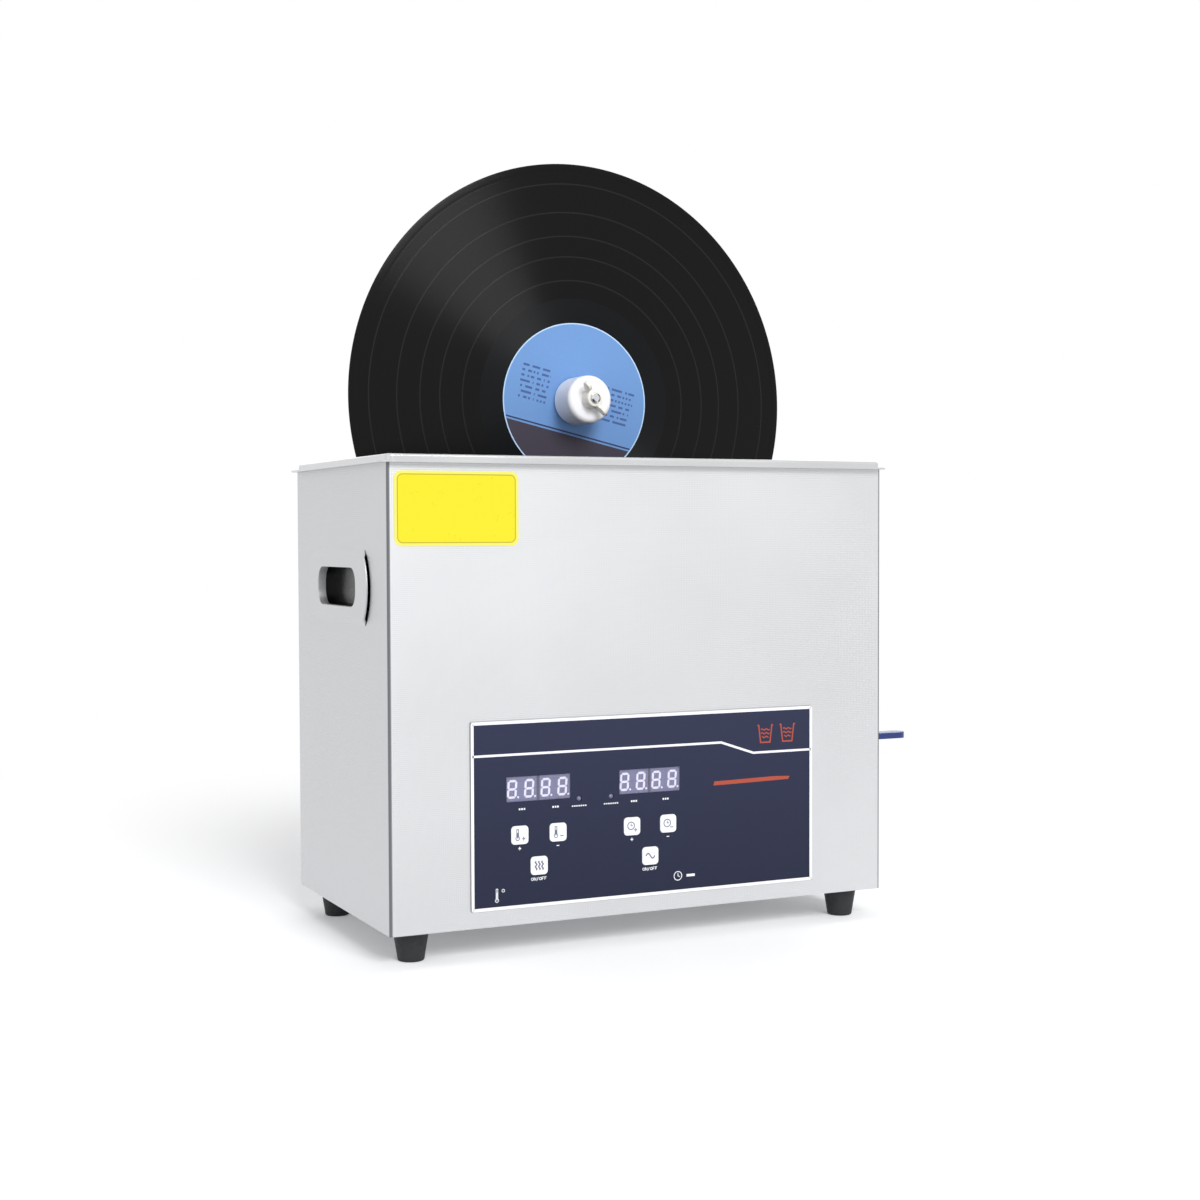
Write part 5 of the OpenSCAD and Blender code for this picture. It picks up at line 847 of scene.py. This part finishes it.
for mask, ink in ((printed, "#3c5a94"), (below.outputs[0], "#2f2739"), (rule.outputs[0], "#1d2a5c"),
                  (edge.outputs[0], "#bcd9fa")):
    colour = add(tree, "ShaderNodeMix", {0: mask, 6: colour, 7: linear(ink)}, data_type="RGBA").outputs[2]
tree.links.new(colour, shader.inputs["Base Color"])
add(tree, "ShaderNodeBump", {"Height": fibres.outputs[0], "Distance": 0.02 * MM}, into=shader.inputs["Normal"])
dress(label_paper, "record_labels")

# Hubs.
# Turned white acetal, which is slightly waxy and lets light in.
white_acetal, tree, shader = start("turned_white_acetal", "#fafaff", 0.36, IOR=1.48)
shader.inputs["Subsurface Weight"].default_value = 0.15
shader.inputs["Subsurface Radius"].default_value = (0.6, 0.6, 0.7)
shader.inputs["Subsurface Scale"].default_value = 2 * MM
blots(tree, shader, 120.0, 0.30, 0.44)
dress(white_acetal, "rear_hub", "front_hub")


# Wing nut.
# Moulded white nylon with a metal-free bore: a cone with two rounded wings that lean forward. It is
# built from overlapping closed bodies, which a fine remesh joins and a smoothing rounds as the mould does.
def revolve(form, profile, turns=64):
    """Turns a closed outline of (radius, way along Z) round the Z axis."""
    rings = []
    for i in range(turns):
        a = 2 * math.pi * i / turns
        rings.append([form.verts.new((r * math.cos(a) * MM, r * math.sin(a) * MM, z * MM))
                      for r, z in profile])
    count = len(profile)
    for i in range(turns):
        for k in range(count):
            one, two = rings[i], rings[(i + 1) % turns]
            form.faces.new((one[k], two[k], two[(k + 1) % count], one[(k + 1) % count]))


nut_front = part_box("wing_nut")[1].y
NUT_H, WING_T = 7.0, 3.0
WING_TURN = 56.0
form = bmesh.new()
revolve(form, [(3.1, 0.1), (6.5, 0.1), (6.4, 1.0), (5.4, NUT_H - 0.8), (4.9, NUT_H), (3.1, NUT_H)])
for side in (-1, 1):
    tip = arc(9.4, NUT_H, 2.9, -25, 160, 14)
    wing = [(5.0, 0.7), (6.3, 0.7), (8.6, 2.6), (11.6, 5.4)] + tip + [(5.0, 6.0)]
    rows = [[form.verts.new((side * x * MM, y * MM, z * MM)) for x, z in wing]
            for y in (-WING_T / 2, WING_T / 2)]
    form.faces.new(rows[0])
    form.faces.new(rows[1])
    for i in range(len(wing)):
        j = (i + 1) % len(wing)
        form.faces.new((rows[0][i], rows[0][j], rows[1][j], rows[1][i]))
nylon, tree, shader = start("moulded_white_nylon", "#f1eee6", 0.42, IOR=1.53)
shader.inputs["Subsurface Weight"].default_value = 0.2
shader.inputs["Subsurface Radius"].default_value = (0.7, 0.6, 0.5)
shader.inputs["Subsurface Scale"].default_value = 2 * MM
blots(tree, shader, 150.0, 0.36, 0.5)
bmesh.ops.recalc_face_normals(form, faces=form.faces)
rough_mesh = bpy.data.meshes.new("wing_nut_rough")
form.to_mesh(rough_mesh)
form.free()
rough = show("wing_nut_rough", rough_mesh)
joiner = rough.modifiers.new("join", "REMESH")
joiner.mode, joiner.voxel_size, joiner.use_smooth_shade = "VOXEL", 0.32 * MM, True
rounder = rough.modifiers.new("round", "SMOOTH")
rounder.factor, rounder.iterations = 0.5, 8
graph = bpy.context.evaluated_depsgraph_get()
nut_mesh = bpy.data.meshes.new_from_object(rough.evaluated_get(graph), depsgraph=graph)
bpy.data.objects.remove(rough)
forwards = Matrix.Translation((0, nut_front, SPINDLE_Z * MM)) @ Matrix.Rotation(math.pi / 2, 4, "X")
nut_mesh.transform(forwards @ Matrix.Rotation(math.radians(-WING_TURN), 4, "Z"))
nut_mesh.materials.clear()
nut_mesh.materials.append(nylon)
for polygon in nut_mesh.polygons:
    polygon.use_smooth = True
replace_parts(set_piece("moulded_wing_nut", nut_mesh, "wing_nut"), "wing_nut")
